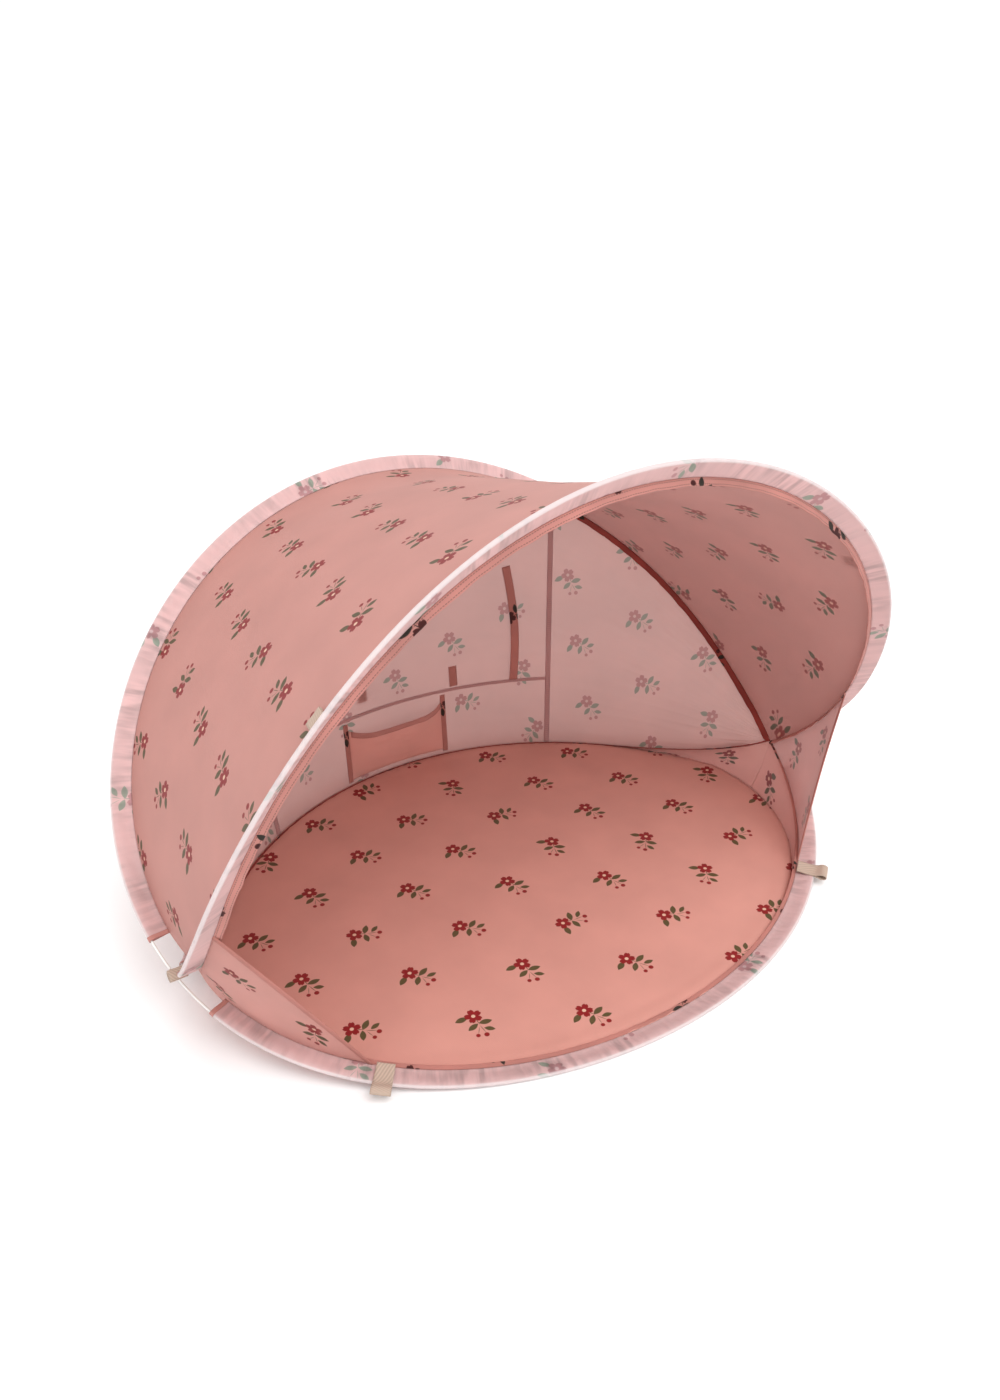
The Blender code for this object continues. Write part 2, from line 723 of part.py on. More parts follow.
def wall_strip(name, path, width, thickness, lifts, colour, pivot):
    """Flat strip on the wall's inner face along a path of shares and rises."""
    rails = ([], [])
    for i, (share, rise) in enumerate(path):
        before = wall_point(*path[max(i - 1, 0)])
        after = wall_point(*path[min(i + 1, len(path) - 1)])
        along = (after - before).normalized()
        here = wall_point(share, rise)
        lift = lifts[min(i, len(lifts) - 1)]
        top = wall_point(share, rise, lift)
        normal = (wall_point(share, rise, GAP) - here).normalized()
        across = along.cross(normal).normalized() * width / 2
        rails[0].append(top - across)
        rails[1].append(top + across)
    return loft(name, rails, thickness, colour, pivot)


FLAP_SIDE_SHARE = wall_share(-FLAP_HALF_WIDTH, FLAP_HEIGHT)


def tapes_and_ties(pivot, arch_pivot):
    """Seam tapes of the vent flap, and the ribbons that hang by it."""
    for name, share in (("seam_tape_left", FLAP_SIDE_SHARE), ("seam_tape_right", 1 - FLAP_SIDE_SHARE)):
        rises = column_shares(low_edge(share, TAPE_END_GAP), high_edge(share, TAPE_END_GAP), TAPE_STEPS)
        path = [(share, rise) for rise in rises]
        wall_strip(name, path, TAPE_WIDTH, TAPE_THICKNESS, [TAPE_LIFT], "trim", arch_pivot)
    low = wall_share(-FLAP_HALF_WIDTH + TAPE_WIDTH / 2 + PANEL_JOIN_GAP, FLAP_HEIGHT)
    path = [(share, wall_rise(share, FLAP_HEIGHT)) for share in wall_columns(low, 1 - low)]
    wall_strip("seam_tape_lower", path, TAPE_WIDTH, TAPE_THICKNESS, [TAPE_LIFT], "trim", pivot)

    path = []
    for height in column_shares(LONG_TIE_TOP, LONG_TIE_END, TAPE_STEPS):
        share = wall_share(LONG_TIE_PLACE, height)
        path.append((share, wall_rise(share, height)))
    lifts = [RIBBON_LIFT + LONG_TIE_HANG * i / TAPE_STEPS for i in range(TAPE_STEPS + 1)]
    wall_strip("long_tie", path, LONG_TIE_WIDTH, RIBBON_THICKNESS, lifts, "trim", arch_pivot)
    for name, place, top, end, width in (
            ("short_tie", SHORT_TIE_PLACE, SHORT_TIE_TOP, SHORT_TIE_END, SHORT_TIE_WIDTH),
            ("outer_tie", OUTER_TIE_PLACE, OUTER_TIE_TOP, OUTER_TIE_END, OUTER_TIE_WIDTH)):
        share = wall_share(place, top)
        path = [(share, wall_rise(share, height)) for height in column_shares(top, end, TIE_STEPS)]
        facing = -RIBBON_LIFT if name == "outer_tie" else RIBBON_LIFT
        wall_strip(name, path, width, RIBBON_THICKNESS, [facing], "trim", arch_pivot)


def pocket_point(across_share, rise_share, extra=0.0):
    """Point of the pocket's cloth: it stands off the wall and sags open at the top."""
    bulge = 1 - (2 * across_share - 1) ** 4
    place = POCKET_MIDDLE + (2 * across_share - 1) * POCKET_HALF_WIDTH
    top = POCKET_TOP - POCKET_SAG * bulge
    height = POCKET_BOTTOM + (top - POCKET_BOTTOM) * rise_share
    lift = CLOTH / 2 + GAP + CLOTH + POCKET_DEPTH * bulge * math.sqrt(rise_share) + extra
    share = wall_share(place, height)
    return wall_point(share, wall_rise(share, height), lift)


def pocket(pivot):
    """Pocket bag, its top hem and the two binding strips at its sides."""
    rows = [[pocket_point(a, r) for a in column_shares(0, 1, POCKET_COLUMNS)]
            for r in column_shares(0, 1, POCKET_ROWS)]
    loft("pocket", rows, CLOTH, "pocket", pivot)
    outer = CLOTH + GAP * 2 + TAPE_THICKNESS / 2
    hem_share = 1 - POCKET_HEM_HEIGHT / (POCKET_TOP - POCKET_BOTTOM)
    inset = POCKET_HEM_INSET / (2 * POCKET_HALF_WIDTH)
    rows = [[pocket_point(a, r, outer) for a in column_shares(inset, 1 - inset, POCKET_COLUMNS)]
            for r in column_shares(hem_share, 1, 2)]
    loft("pocket_hem", rows, TAPE_THICKNESS, "trim", pivot)
    for name, side in (("pocket_binding_left", -1), ("pocket_binding_right", 1)):
        place = POCKET_MIDDLE + side * (POCKET_HALF_WIDTH + BINDING_WIDTH / 2 + GAP * 2)
        path = []
        for height in column_shares(POCKET_BOTTOM, BINDING_TOP, TIE_STEPS):
            share = wall_share(place, height)
            path.append((share, wall_rise(share, height)))
        wall_strip(name, path, BINDING_WIDTH, TAPE_THICKNESS, [TAPE_LIFT], "trim", pivot)


def wing(name, side, pivot):
    """Triangle of cloth from the crossing out to the taut free edge."""
    top_start = SEAM_ENDS[FRONT_HOOP.side]
    foot_start = SEAM_ENDS[BACK_HOOP.side]
    rows = []
    for share in column_shares(WING_START_SHARE, 1, WING_COLUMNS):
        top = hoop_point(FRONT_HOOP, top_start + (WING_TOP_ANGLE - top_start) * share,
                         SLEEVE_WIDTH, SEAM_LEVEL)
        foot = hoop_point(BACK_HOOP, foot_start + (WING_FOOT_ANGLE - foot_start) * share,
                          SLEEVE_WIDTH, SEAM_LEVEL)
        row = between(foot, top, WING_ROWS, SIDE_GAP, SIDE_GAP)
        rows.append([Vector((side * point.x, point.y, point.z)) for point in row])
    return loft(name, rows, CLOTH, "side", pivot), rows[-2], rows[-1]


def hem(name, inner_row, edge_row, pivot):
    """Folded hem along the wing's free edge."""
    span = edge_row[-1] - edge_row[0]
    along = span.normalized()
    rows = []
    for inner, edge in zip(inner_row, edge_row):
        out = edge - inner
        out = (out - along * out.dot(along)).normalized()
        rows.append([edge + out * GAP, edge + out * (GAP + HEM_WIDTH)])
    low, high = rows[0], rows[-1]
    margin = HEM_THICKNESS / span.length
    rows[0] = [blend(a, b, margin) for a, b in zip(low, high)]
    rows[-1] = [blend(b, a, margin) for a, b in zip(low, high)]
    return loft(name, rows, HEM_THICKNESS, "trim", pivot)


def peg_loop(name, side, pivot):
    """Webbing folded into an eye, sewn at the seam and lying over the sleeve."""
    lower = PEG_LOOP_LIFT
    upper = lower + WEBBING_THICKNESS + GAP
    path = [(SLEEVE_WIDTH, lower), (0.0, lower)]
    path += [(-PEG_LOOP_REACH * out, lower + PEG_LOOP_EYE * rise) for out, rise in PEG_LOOP_SHARES]
    path += [(0.0, upper), (SLEEVE_WIDTH, upper)]
    turn = WEBBING_WIDTH / 2 / BACK_HOOP.half_length
    rows = []
    for inset, lift in path:
        row = []
        for share in (-1, 0, 1):
            point = hoop_point(BACK_HOOP, PEG_LOOP_ANGLE + turn * share, inset, lift)
            row.append(Vector((side * point.x, point.y, point.z)))
        rows.append(row)
    return loft(name, rows, WEBBING_THICKNESS, "webbing", pivot)


def arch_loop_frame(side):
    """Base point, direction along the arch, along the canopy, and away from it."""
    base = hoop_point(FRONT_HOOP, ARCH_LOOP_ANGLE, SLEEVE_WIDTH, SEAM_LEVEL)
    share = bisect(lambda value: along_seam(FRONT_ARCH_SEAM, value).x - base.x, 1 / 2, ARCH_END_SHARE)
    along = (hoop_point(FRONT_HOOP, ARCH_LOOP_ANGLE + TURN_STEP, SLEEVE_WIDTH)
             - hoop_point(FRONT_HOOP, ARCH_LOOP_ANGLE - TURN_STEP, SLEEVE_WIDTH)).normalized()
    back = canopy_point(share, 1 - RISE_STEP_SHARE) - canopy_point(share, 1)
    back = (back - along * back.dot(along)).normalized()
    out = along.cross(back).normalized()
    if out.x < 0:
        out.negate()
    return [Vector((v.x * side, v.y, v.z)) for v in (base, along, back, out)]


def arch_loop(name, side, pivot):
    """Webbing loop for a guy line, sewn at the arch and lying on the canopy."""
    base, along, back, out = arch_loop_frame(side)
    lower = ARCH_LOOP_LIFT
    upper = lower + WEBBING_THICKNESS + GAP
    path = [(ARCH_LOOP_START, lower)]
    path += [(ARCH_LOOP_LENGTH * out, lower + ARCH_LOOP_EYE * rise) for out, rise in ARCH_LOOP_SHARES]
    path.append((ARCH_LOOP_START, upper))
    rows = []
    for reach, lift in path:
        rows.append([base + along * (WEBBING_WIDTH / 2 * s) + back * reach + out * lift
                     for s in (-1, 0, 1)])
    return loft(name, rows, WEBBING_THICKNESS, "webbing", pivot)


clear_scene()
PARTS = bpy.data.collections.new("beach_tent")
bpy.context.scene.collection.children.link(PARTS)

rear_arch_pivot = pivot_at("rear_arch_pivot", AXIS)
front_arch_pivot = pivot_at("front_arch_pivot", AXIS)
front_base_pivot = pivot_at("front_base_pivot", AXIS)

wire("rear_ground_wire", FRONT_HOOP, False, REAR_GROUND_BARE, None)
wire("rear_arch_wire", BACK_HOOP, True, REAR_ARCH_BARE, rear_arch_pivot)
wire("front_arch_wire", FRONT_HOOP, True, FRONT_ARCH_BARE, front_arch_pivot)
wire("front_ground_wire", BACK_HOOP, False, FRONT_GROUND_BARE, front_base_pivot)
sleeve("rear_ground_sleeve", FRONT_HOOP, False, REAR_GROUND_BARE, None)
sleeve("rear_arch_sleeve", BACK_HOOP, True, REAR_ARCH_BARE, rear_arch_pivot)
sleeve("front_arch_sleeve", FRONT_HOOP, True, FRONT_ARCH_BARE, front_arch_pivot)
sleeve("front_ground_sleeve", BACK_HOOP, False, FRONT_GROUND_BARE, front_base_pivot)
ferrule("rear_ferrule", FRONT_HOOP, False, REAR_GROUND_BARE, None)
ferrule("front_ferrule", BACK_HOOP, False, FRONT_GROUND_BARE, front_base_pivot)
floor_half("floor_rear", False, None)
floor_half("floor_front", True, front_base_pivot)
canopy("canopy", front_arch_pivot)
back_wall(None, rear_arch_pivot)
tapes_and_ties(None, rear_arch_pivot)
pocket(None)

for side_name, side in (("left", -1), ("right", 1)):
    strap(f"crossing_strap_{side_name}", side, None)
    gusset(f"gusset_rear_{side_name}", False, side, None)
    gusset(f"gusset_front_{side_name}", True, side, front_base_pivot)
    panel, inner_row, edge_row = wing(f"wing_{side_name}", side, front_arch_pivot)
    hem(f"wing_hem_{side_name}", inner_row, edge_row, front_arch_pivot)
    sewn = hoop_point(BACK_HOOP, PEG_LOOP_ANGLE, SLEEVE_WIDTH, PEG_LOOP_LIFT)
    peg_place = Vector((side * sewn.x, sewn.y, sewn.z))
    peg_pivot = pivot_at(f"peg_loop_pivot_{side_name}", peg_place, front_base_pivot)
    peg_loop(f"peg_loop_{side_name}", side, peg_pivot)
    base, _, back, out = arch_loop_frame(side)
    arch_place = base + back * ARCH_LOOP_START + out * ARCH_LOOP_LIFT
    arch_pivot = pivot_at(f"arch_loop_pivot_{side_name}", arch_place, front_arch_pivot)
    arch_loop(f"arch_loop_{side_name}", side, arch_pivot)
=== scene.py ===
"""Looks of a child's pop-up beach tent: two crossed spring-wire hoops in gathered cloth
sleeves, with a printed canopy, a sheer back wall, a printed floor and side panels.

Metres, +Z up, -Y is the open front. Each hoop is an egg-shaped ellipse drawn on a flat
sheet that is then bent up along a side profile, and the cloth takes its edges from the hoops.
"""
import dataclasses
import functools
import math
from bisect import bisect_right

import bpy
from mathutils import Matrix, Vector, noise


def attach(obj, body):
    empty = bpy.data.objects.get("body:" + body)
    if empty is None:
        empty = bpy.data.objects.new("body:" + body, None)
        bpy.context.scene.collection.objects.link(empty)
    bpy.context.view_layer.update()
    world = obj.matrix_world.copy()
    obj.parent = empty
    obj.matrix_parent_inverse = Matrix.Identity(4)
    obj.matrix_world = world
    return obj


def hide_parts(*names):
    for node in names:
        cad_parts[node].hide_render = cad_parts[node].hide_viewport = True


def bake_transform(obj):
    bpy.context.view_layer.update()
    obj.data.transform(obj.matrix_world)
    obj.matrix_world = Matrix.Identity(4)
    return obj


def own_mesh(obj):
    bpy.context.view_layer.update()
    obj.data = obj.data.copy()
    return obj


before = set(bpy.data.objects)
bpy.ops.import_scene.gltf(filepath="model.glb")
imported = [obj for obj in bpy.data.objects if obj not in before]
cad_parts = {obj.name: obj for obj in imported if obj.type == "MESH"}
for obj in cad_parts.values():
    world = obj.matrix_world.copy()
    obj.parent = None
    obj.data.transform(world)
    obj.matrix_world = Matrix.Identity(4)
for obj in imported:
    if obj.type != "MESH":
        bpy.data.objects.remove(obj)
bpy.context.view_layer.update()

MM = 0.001
SIDES = {"left": -1, "right": 1}

# Wire and cloth
WIRE_RADIUS = 1.75 * MM
CLOTH = 0.5 * MM
GAP = 0.3 * MM
SLEEVE_WIDTH = 27 * MM
SLEEVE_RADIUS = 2.95 * MM
WIRE_HEIGHT = 3.2 * MM
SEAM_LEVEL = -2.55 * MM
SLEEVE_HEM = 7 * MM
# Shares of the sleeve's section at which the layer under the wire ends and the one over it starts
UNDER_SHARE = 0.38
OVER_SHARE = 0.56

# Bare wire from each crossing to where the sleeve starts
FRONT_GROUND_BARE = 75 * MM
REAR_ARCH_BARE = 60 * MM
REAR_GROUND_BARE = 60 * MM
FRONT_ARCH_BARE = 16 * MM

# How far the canopy pulls each arch's sleeve off its hoop's sheet, and how soon past a crossing
REAR_ARCH_LEAN = math.radians(30)
FRONT_ARCH_LEAN = math.radians(40)
LEAN_RAMP = math.radians(50)

# Webbing wound round the crossings
STRAP_WIDTH = 25 * MM
STRAP_RADIUS = 9 * MM
STRAP_START = 3.4 * MM
STRAP_GROWTH = STRAP_RADIUS - 4.0 * MM
STRAP_TURNS = 3.1

# Floor, wings and hems
FLOOR_SIDE_INSET = 32 * MM
WING_TOP_ANGLE = math.radians(7.5)
WING_FOOT_ANGLE = math.radians(-47.5)
WING_START_SHARE = 0.03
WING_HOLLOW = 6 * MM
HEM_WIDTH = 8 * MM
GUSSET_HEIGHT = 90 * MM

# Webbing loops
WEBBING_WIDTH = 25 * MM
WEBBING_THICKNESS = 1 * MM
PEG_WEBBING_LENGTH = 100 * MM
ARCH_WEBBING_LENGTH = 70 * MM
PEG_LOOP_ANGLE = math.radians(-49.6)
PEG_LOOP_REACH = 22 * MM
PEG_LOOP_EYE = 5 * MM
PEG_LOOP_SHARES = ((0.4, -0.3), (0.7, -0.5), (0.95, 0.0), (1.0, 0.6), (0.9, 1.1), (0.6, 1.3))
ARCH_LOOP_ANGLE = math.radians(41.0)
ARCH_LOOP_LENGTH = 30 * MM
ARCH_LOOP_EYE = 4 * MM
ARCH_LOOP_START = 3.6 * MM
ARCH_LOOP_SHARES = ((0.4, 0.0), (0.85, 0.0), (1.0, 0.5), (0.9, 1.0), (0.6, 0.7))

# Back wall: vent flap, tapes, ribbons and pocket; its threads draw in on their way up
WALL_DRAW_SHARE = 0.026
FLAP_HALF_WIDTH = 303 * MM
FLAP_HEIGHT = 138 * MM
TAPE_WIDTH = 10 * MM
LOWER_TAPE_WIDTH = 6 * MM
POCKET_HALF_WIDTH = 101 * MM
POCKET_MIDDLE = -6 * MM
POCKET_TOP = 116 * MM
POCKET_BOTTOM = 12 * MM
POCKET_DEPTH = 28 * MM
POCKET_SAG = 10 * MM
POCKET_HEM = 12 * MM
BINDING_TOP = 130 * MM
BINDING_OVERHANG = 4 * MM
TRIM_THICKNESS = 0.7 * MM
# The wall's panels are stated a little taller than they stand, for their slack
# Each ribbon's width, sideways place, bow, top, end, how far its end hangs off the wall, and its side
TIES = {
    "long_tie": (16 * MM, 239 * MM, 9 * MM, 370 * MM, 143 * MM, 6 * MM, 1),
    "short_tie": (16 * MM, 123 * MM, 0.0, 186 * MM, 145 * MM, 1 * MM, 1),
    "outer_tie": (20 * MM, -67 * MM, 0.0, 218 * MM, 160 * MM, 0.0, -1),
}

# Canopy
CANOPY_DIP = 16 * MM
VALLEY_DEPTH = 7 * MM
VALLEY_PLACE_SHARE = 0.12
VALLEY_WIDTH_SHARE = 0.10

# Steps along a hoop's half: sleeve, end of its seam, measured wire, drawn wire
STATIONS = 40
CORNER_STEPS = 3
FINE_STEPS = 900
WIRE_STEPS = 260

# Seam allowances that stand inwards: depth and angle off the hoop's sheet
FRONT_ALLOWANCE = (11 * MM, math.radians(-20))
REAR_ALLOWANCE = (11 * MM, math.radians(-30))
GROUND_ALLOWANCE = (6 * MM, math.radians(25))
ALLOWANCE_TAPER_SHARE = 0.03
ALLOWANCE_START = 0.6 * MM
ALLOWANCE_THICKNESS = 1.3 * MM
# How near to a crossing the side panels start to run into the common corner
CORNER_PULL_SHARE = 0.2


def rounded(value):
    """0 to 1 with soft ends."""
    value = min(max(value, 0.0), 1.0)
    return value * value * (3 - 2 * value)


def step_at(values, share):
    """Place in an evenly spaced list at a share of it: the number before it, and the rest."""
    place = share * (len(values) - 1)
    i = max(0, min(int(place), len(values) - 2))
    return i, place - i


def interpolated(values, share):
    """Value at a share of an evenly spaced list."""
    i, rest = step_at(values, share)
    return values[i] + (values[i + 1] - values[i]) * rest


@dataclasses.dataclass(eq=False)
class Hoop:
    """One closed wire on its bent sheet, which rises towards +Y (side 1) or -Y (side -1)."""

    half_width: float
    half_length: float
    middle: float
    egg: float
    foot_angle: float
    foot_radius: float
    corner: float
    top_radius: float
    side: float
    most_lean: float
    crossing: float = 0.0

    def __post_init__(self):
        self.start = self.corner - self.foot_radius * math.tan(self.foot_angle / 2)
        self.end = self.start + self.foot_radius * self.foot_angle

    def slope(self, v):
        """Angle of the bent sheet above the ground."""
        if v <= self.start:
            return 0.0
        if v <= self.end:
            return (v - self.start) / self.foot_radius
        return self.foot_angle + (v - self.end) / self.top_radius

    def profile(self, v):
        """Side profile: ground line, tight arc at the foot, wide arc above."""
        angle = self.slope(v)
        if angle == 0.0:
            return self.side * v, WIRE_HEIGHT
        foot = min(angle, self.foot_angle)
        y = self.start + self.foot_radius * math.sin(foot)
        z = self.foot_radius * (1 - math.cos(foot))
        if angle > self.foot_angle:
            y += self.top_radius * (math.sin(angle) - math.sin(self.foot_angle))
            z += self.top_radius * (math.cos(self.foot_angle) - math.cos(angle))
        return self.side * y, z + WIRE_HEIGHT

    def flat(self, phi, inset=0.0):
        """Place of the wire on the flat sheet, moved inwards by inset."""
        u = self.half_width * math.cos(phi) * (1 + self.egg * math.sin(phi))
        v = self.middle + self.half_length * math.sin(phi)
        across = self.half_width * (self.egg * math.cos(2 * phi) - math.sin(phi))
        along = self.half_length * math.cos(phi)
        length = math.hypot(across, along)
        return u - inset * along / length, v + inset * across / length

    def lean(self, phi):
        """Angle of the sleeve off the sheet: none on the ground, the most high on the arch."""
        past = min(phi - self.crossing, math.pi - self.crossing - phi)
        return self.most_lean * rounded(past / LEAN_RAMP)

    def level_point(self, phi, inset=0.0, lift=0.0):
        """Point moved inwards on the sheet itself and lifted off it."""
        u, v = self.flat(phi, inset)
        y, z = self.profile(v)
        angle = self.slope(v)
        return Vector((u, y - self.side * lift * math.sin(angle), z + lift * math.cos(angle)))

    def point(self, phi, inset=0.0, lift=0.0):
        """Point at the hoop, moved inwards along the sleeve and lifted off it."""
        lean = self.lean(phi)
        return self.level_point(phi, inset * math.cos(lean) - lift * math.sin(lean),
                                inset * math.sin(lean) + lift * math.cos(lean))

    def allowance(self, phi, depth, angle):
        """Point a depth inwards from the sleeve's seam, in a direction of its own off the sheet."""
        lean = self.lean(phi)
        inset = SLEEVE_WIDTH * math.cos(lean) - SEAM_LEVEL * math.sin(lean)
        lift = SLEEVE_WIDTH * math.sin(lean) + SEAM_LEVEL * math.cos(lean)
        return self.level_point(phi, inset + depth * math.cos(angle), lift + depth * math.sin(angle))


BACK = Hoop(half_width=0.600, half_length=0.556, middle=0.117, egg=-0.055, foot_angle=math.radians(39.2),
            foot_radius=0.857, corner=-0.134, top_radius=1.400, side=1.0, most_lean=REAR_ARCH_LEAN)
FRONT = Hoop(half_width=0.594, half_length=0.617, middle=0.206, egg=0.010, foot_angle=math.radians(64.7),
             foot_radius=0.506, corner=0.080, top_radius=0.919, side=-1.0, most_lean=FRONT_ARCH_LEAN)


def running_length(points):
    """Running length along a list of points."""
    total = [0.0]
    for a, b in zip(points, points[1:]):
        total.append(total[-1] + (b - a).length)
    return total


def path_length(path, steps=60):
    """Length of a path, which gives a point for each share."""
    return running_length([path(i / steps) for i in range(steps + 1)])[-1]


def bisect(function, low, high):
    """Where a function that changes sign between low and high is zero."""
    low_positive = function(low) > 0
    for _ in range(50):
        middle = (low + high) / 2
        if (function(middle) > 0) == low_positive:
            low = middle
        else:
            high = middle
    return (low + high) / 2


def sheet_place(hoop, y):
    """Developed place of the sheet over y near its foot."""
    return bisect(lambda v: (hoop.profile(v)[0] - y) * hoop.side, -hoop.half_length, hoop.half_length)


def hoop_height(hoop, y):
    """Height of the hoop's bent sheet over the place y near its foot."""
    return hoop.profile(sheet_place(hoop, y))[1]


AXIS_Y = bisect(lambda y: hoop_height(BACK, y) - hoop_height(FRONT, y), BACK.corner, FRONT.corner)
AXIS = Vector((0, AXIS_Y, hoop_height(BACK, AXIS_Y)))


def crossing_phi(hoop, inset=0.0):
    """Right-hand angle at which the hoop, or its seam, passes the fold axis."""
    v = sheet_place(hoop, AXIS_Y)
    return bisect(lambda phi: hoop.flat(phi, inset)[1] - v, -math.pi / 2, math.pi / 2)


for each in (BACK, FRONT):
    each.crossing = crossing_phi(each)


def seam_corner():
    """Where all seams meet inside the right-hand crossing."""
    ends = [hoop.point(crossing_phi(hoop, SLEEVE_WIDTH), SLEEVE_WIDTH, SEAM_LEVEL) for hoop in (BACK, FRONT)]
    return (ends[0] + ends[1]) / 2


CORNER = seam_corner()


def arc_phi(hoop, upper, share, inset=0.0):
    """Angle at a share of the way from the left crossing to the right one."""
    right = crossing_phi(hoop, inset)
    left = math.pi - right
    end = right if upper else right + 2 * math.pi
    return left + share * (end - left)


class Arc:
    """Half of a hoop, from the left crossing to the right one, measured along the wire."""

    def __init__(self, hoop, upper, bare):
        self.hoop = hoop
        self.bare = bare
        first = arc_phi(hoop, upper, 0.0)
        last = arc_phi(hoop, upper, 1.0)
        self.angles = [first + (last - first) * i / FINE_STEPS for i in range(FINE_STEPS + 1)]
        self.lengths = running_length([hoop.point(angle) for angle in self.angles])
        self.length = self.lengths[-1]
        corner_first = arc_phi(hoop, upper, 0.0, SLEEVE_WIDTH)
        corner_last = arc_phi(hoop, upper, 1.0, SLEEVE_WIDTH)
        stations = [self.angle(bare + (self.length - 2 * bare) * i / STATIONS) for i in range(STATIONS + 1)]
        self.seam = [corner_first + (stations[0] - corner_first) * i / CORNER_STEPS
                     for i in range(CORNER_STEPS)]
        self.seam += stations
        self.seam += [stations[-1] + (corner_last - stations[-1]) * (i + 1) / CORNER_STEPS
                      for i in range(CORNER_STEPS)]

    def angle(self, distance):
        """Angle of the point that lies a distance along the wire."""
        i = min(max(bisect_right(self.lengths, distance) - 1, 0), FINE_STEPS - 1)
        part = (distance - self.lengths[i]) / (self.lengths[i + 1] - self.lengths[i])
        return self.angles[i] + part * (self.angles[i + 1] - self.angles[i])

    def point(self, distance, inset=0.0, lift=0.0):
        """Point a distance along the wire, moved inwards along the sleeve and lifted off it."""
        return self.hoop.point(self.angle(distance), inset, lift)

    def outward(self, distance):
        """Direction away from the hoop's inside, a distance along the wire."""
        return self.point(distance, -1 * MM) - self.point(distance)

    def seam_angle(self, share):
        """Angle at a share of the way along the sleeve's inner seam."""
        return interpolated(self.seam, share)

    def to_corner(self, point, share):
        """The point drawn to the common corner near either end."""
        end = CORNER_STEPS / (len(self.seam) - 1)
        near = rounded(1 - min(share, 1 - share) / end)
        corner = CORNER if share > 0.5 else Vector((-CORNER.x, CORNER.y, CORNER.z))
        return point + (corner - point) * near

    def seam_point(self, share):
        """Point on the sleeve's inner seam."""
        return self.to_corner(self.hoop.point(self.seam_angle(share), SLEEVE_WIDTH, SEAM_LEVEL), share)

    def allowance_point(self, share, depth, angle):
        """Point on the seam's allowance, which narrows away at the corners."""
        phi = self.seam_angle(share)
        seam = self.hoop.point(phi, SLEEVE_WIDTH, SEAM_LEVEL)
        return self.seam_point(share) + self.hoop.allowance(phi, depth, angle) - seam


REAR_ARCH = Arc(BACK, True, REAR_ARCH_BARE)
FRONT_ARCH = Arc(FRONT, True, FRONT_ARCH_BARE)
REAR_GROUND = Arc(FRONT, False, REAR_GROUND_BARE)
FRONT_GROUND = Arc(BACK, False, FRONT_GROUND_BARE)


def ripple(x, y, seed):
    """Smooth noise of about -1 to 1."""
    return noise.noise(Vector((x, y, seed * 7.3)))


# Materials


def linear(hex_colour):
    """sRGB hex to linear RGBA."""
    channels = [int(hex_colour[i:i + 2], 16) / 255 for i in (1, 3, 5)]
    return (*[c / 12.92 if c <= 0.04045 else ((c + 0.055) / 1.055) ** 2.4 for c in channels], 1.0)


def feed(node, **values):
    """Link or set a node's inputs by their names, with _ for a space, or by _ and their number."""
    for key, value in values.items():
        socket = node.inputs[int(key[1:]) if key[0] == "_" else key.replace("_", " ")]
        if isinstance(value, bpy.types.NodeSocket):
            node.id_data.links.new(value, socket)
        else:
            socket.default_value = value


def add(tree, kind, *inputs, **settings):
    """Add a node and give its output. Inputs are fed in order, or by their capitalised names."""
    node = tree.nodes.new(f"ShaderNode{kind}")
    feeds = {f"_{place}": value for place, value in enumerate(inputs)}
    for key, value in settings.items():
        if key[0].isupper():
            feeds[key] = value
        else:
            setattr(node, key, value)
    feed(node, **feeds)
    return next(socket for socket in node.outputs if socket.enabled)


def new_material(name):
    """A new material, the add function for its nodes, and its Principled shader."""
    material = bpy.data.materials.new(name)
    material.use_nodes = True
    tree = material.node_tree
    return material, functools.partial(add, tree), tree.nodes["Principled BSDF"]


# The print: a five-petalled blossom on a bent stem with leaflets and round buds. Each cell of a
# column by a row holds one, and every other row starts half a column on.
PRINT_COLUMN = 164 * MM
PRINT_ROW = 101 * MM
PRINT_TILT = math.radians(28)
MOTIF_SWING = 2.4
PRINT_SOFT = 0.8 * MM
PETALS = 5
PETAL_LOBE_SHARE = 0.48
PETAL_BLUNTNESS = 0.7
EYE_SHARE = 0.24
NOTCH_SHARE = 0.5
NOTCH_START = 0.8
BLOSSOM = (-9 * MM, 8 * MM, 14 * MM)
BUDS = ((23 * MM, -15 * MM, 4.2 * MM), (13 * MM, -22 * MM, 3.6 * MM))
# Middle, direction, length and half width of each stem and leaflet
SPRIG = (
    (-1 * MM, 3 * MM, -0.64, 22 * MM, 1.0 * MM),
    (14 * MM, -8 * MM, -0.54, 20 * MM, 0.9 * MM),
    (10 * MM, -13 * MM, -1.23, 17 * MM, 0.8 * MM),
    (11 * MM, 6 * MM, 0.75, 21 * MM, 5.0 * MM),
    (22 * MM, -3 * MM, 0.3, 17 * MM, 4.2 * MM),
    (0 * MM, -11 * MM, -1.9, 20 * MM, 4.8 * MM),
    (-21 * MM, -6 * MM, -2.2, 21 * MM, 5.2 * MM),
)


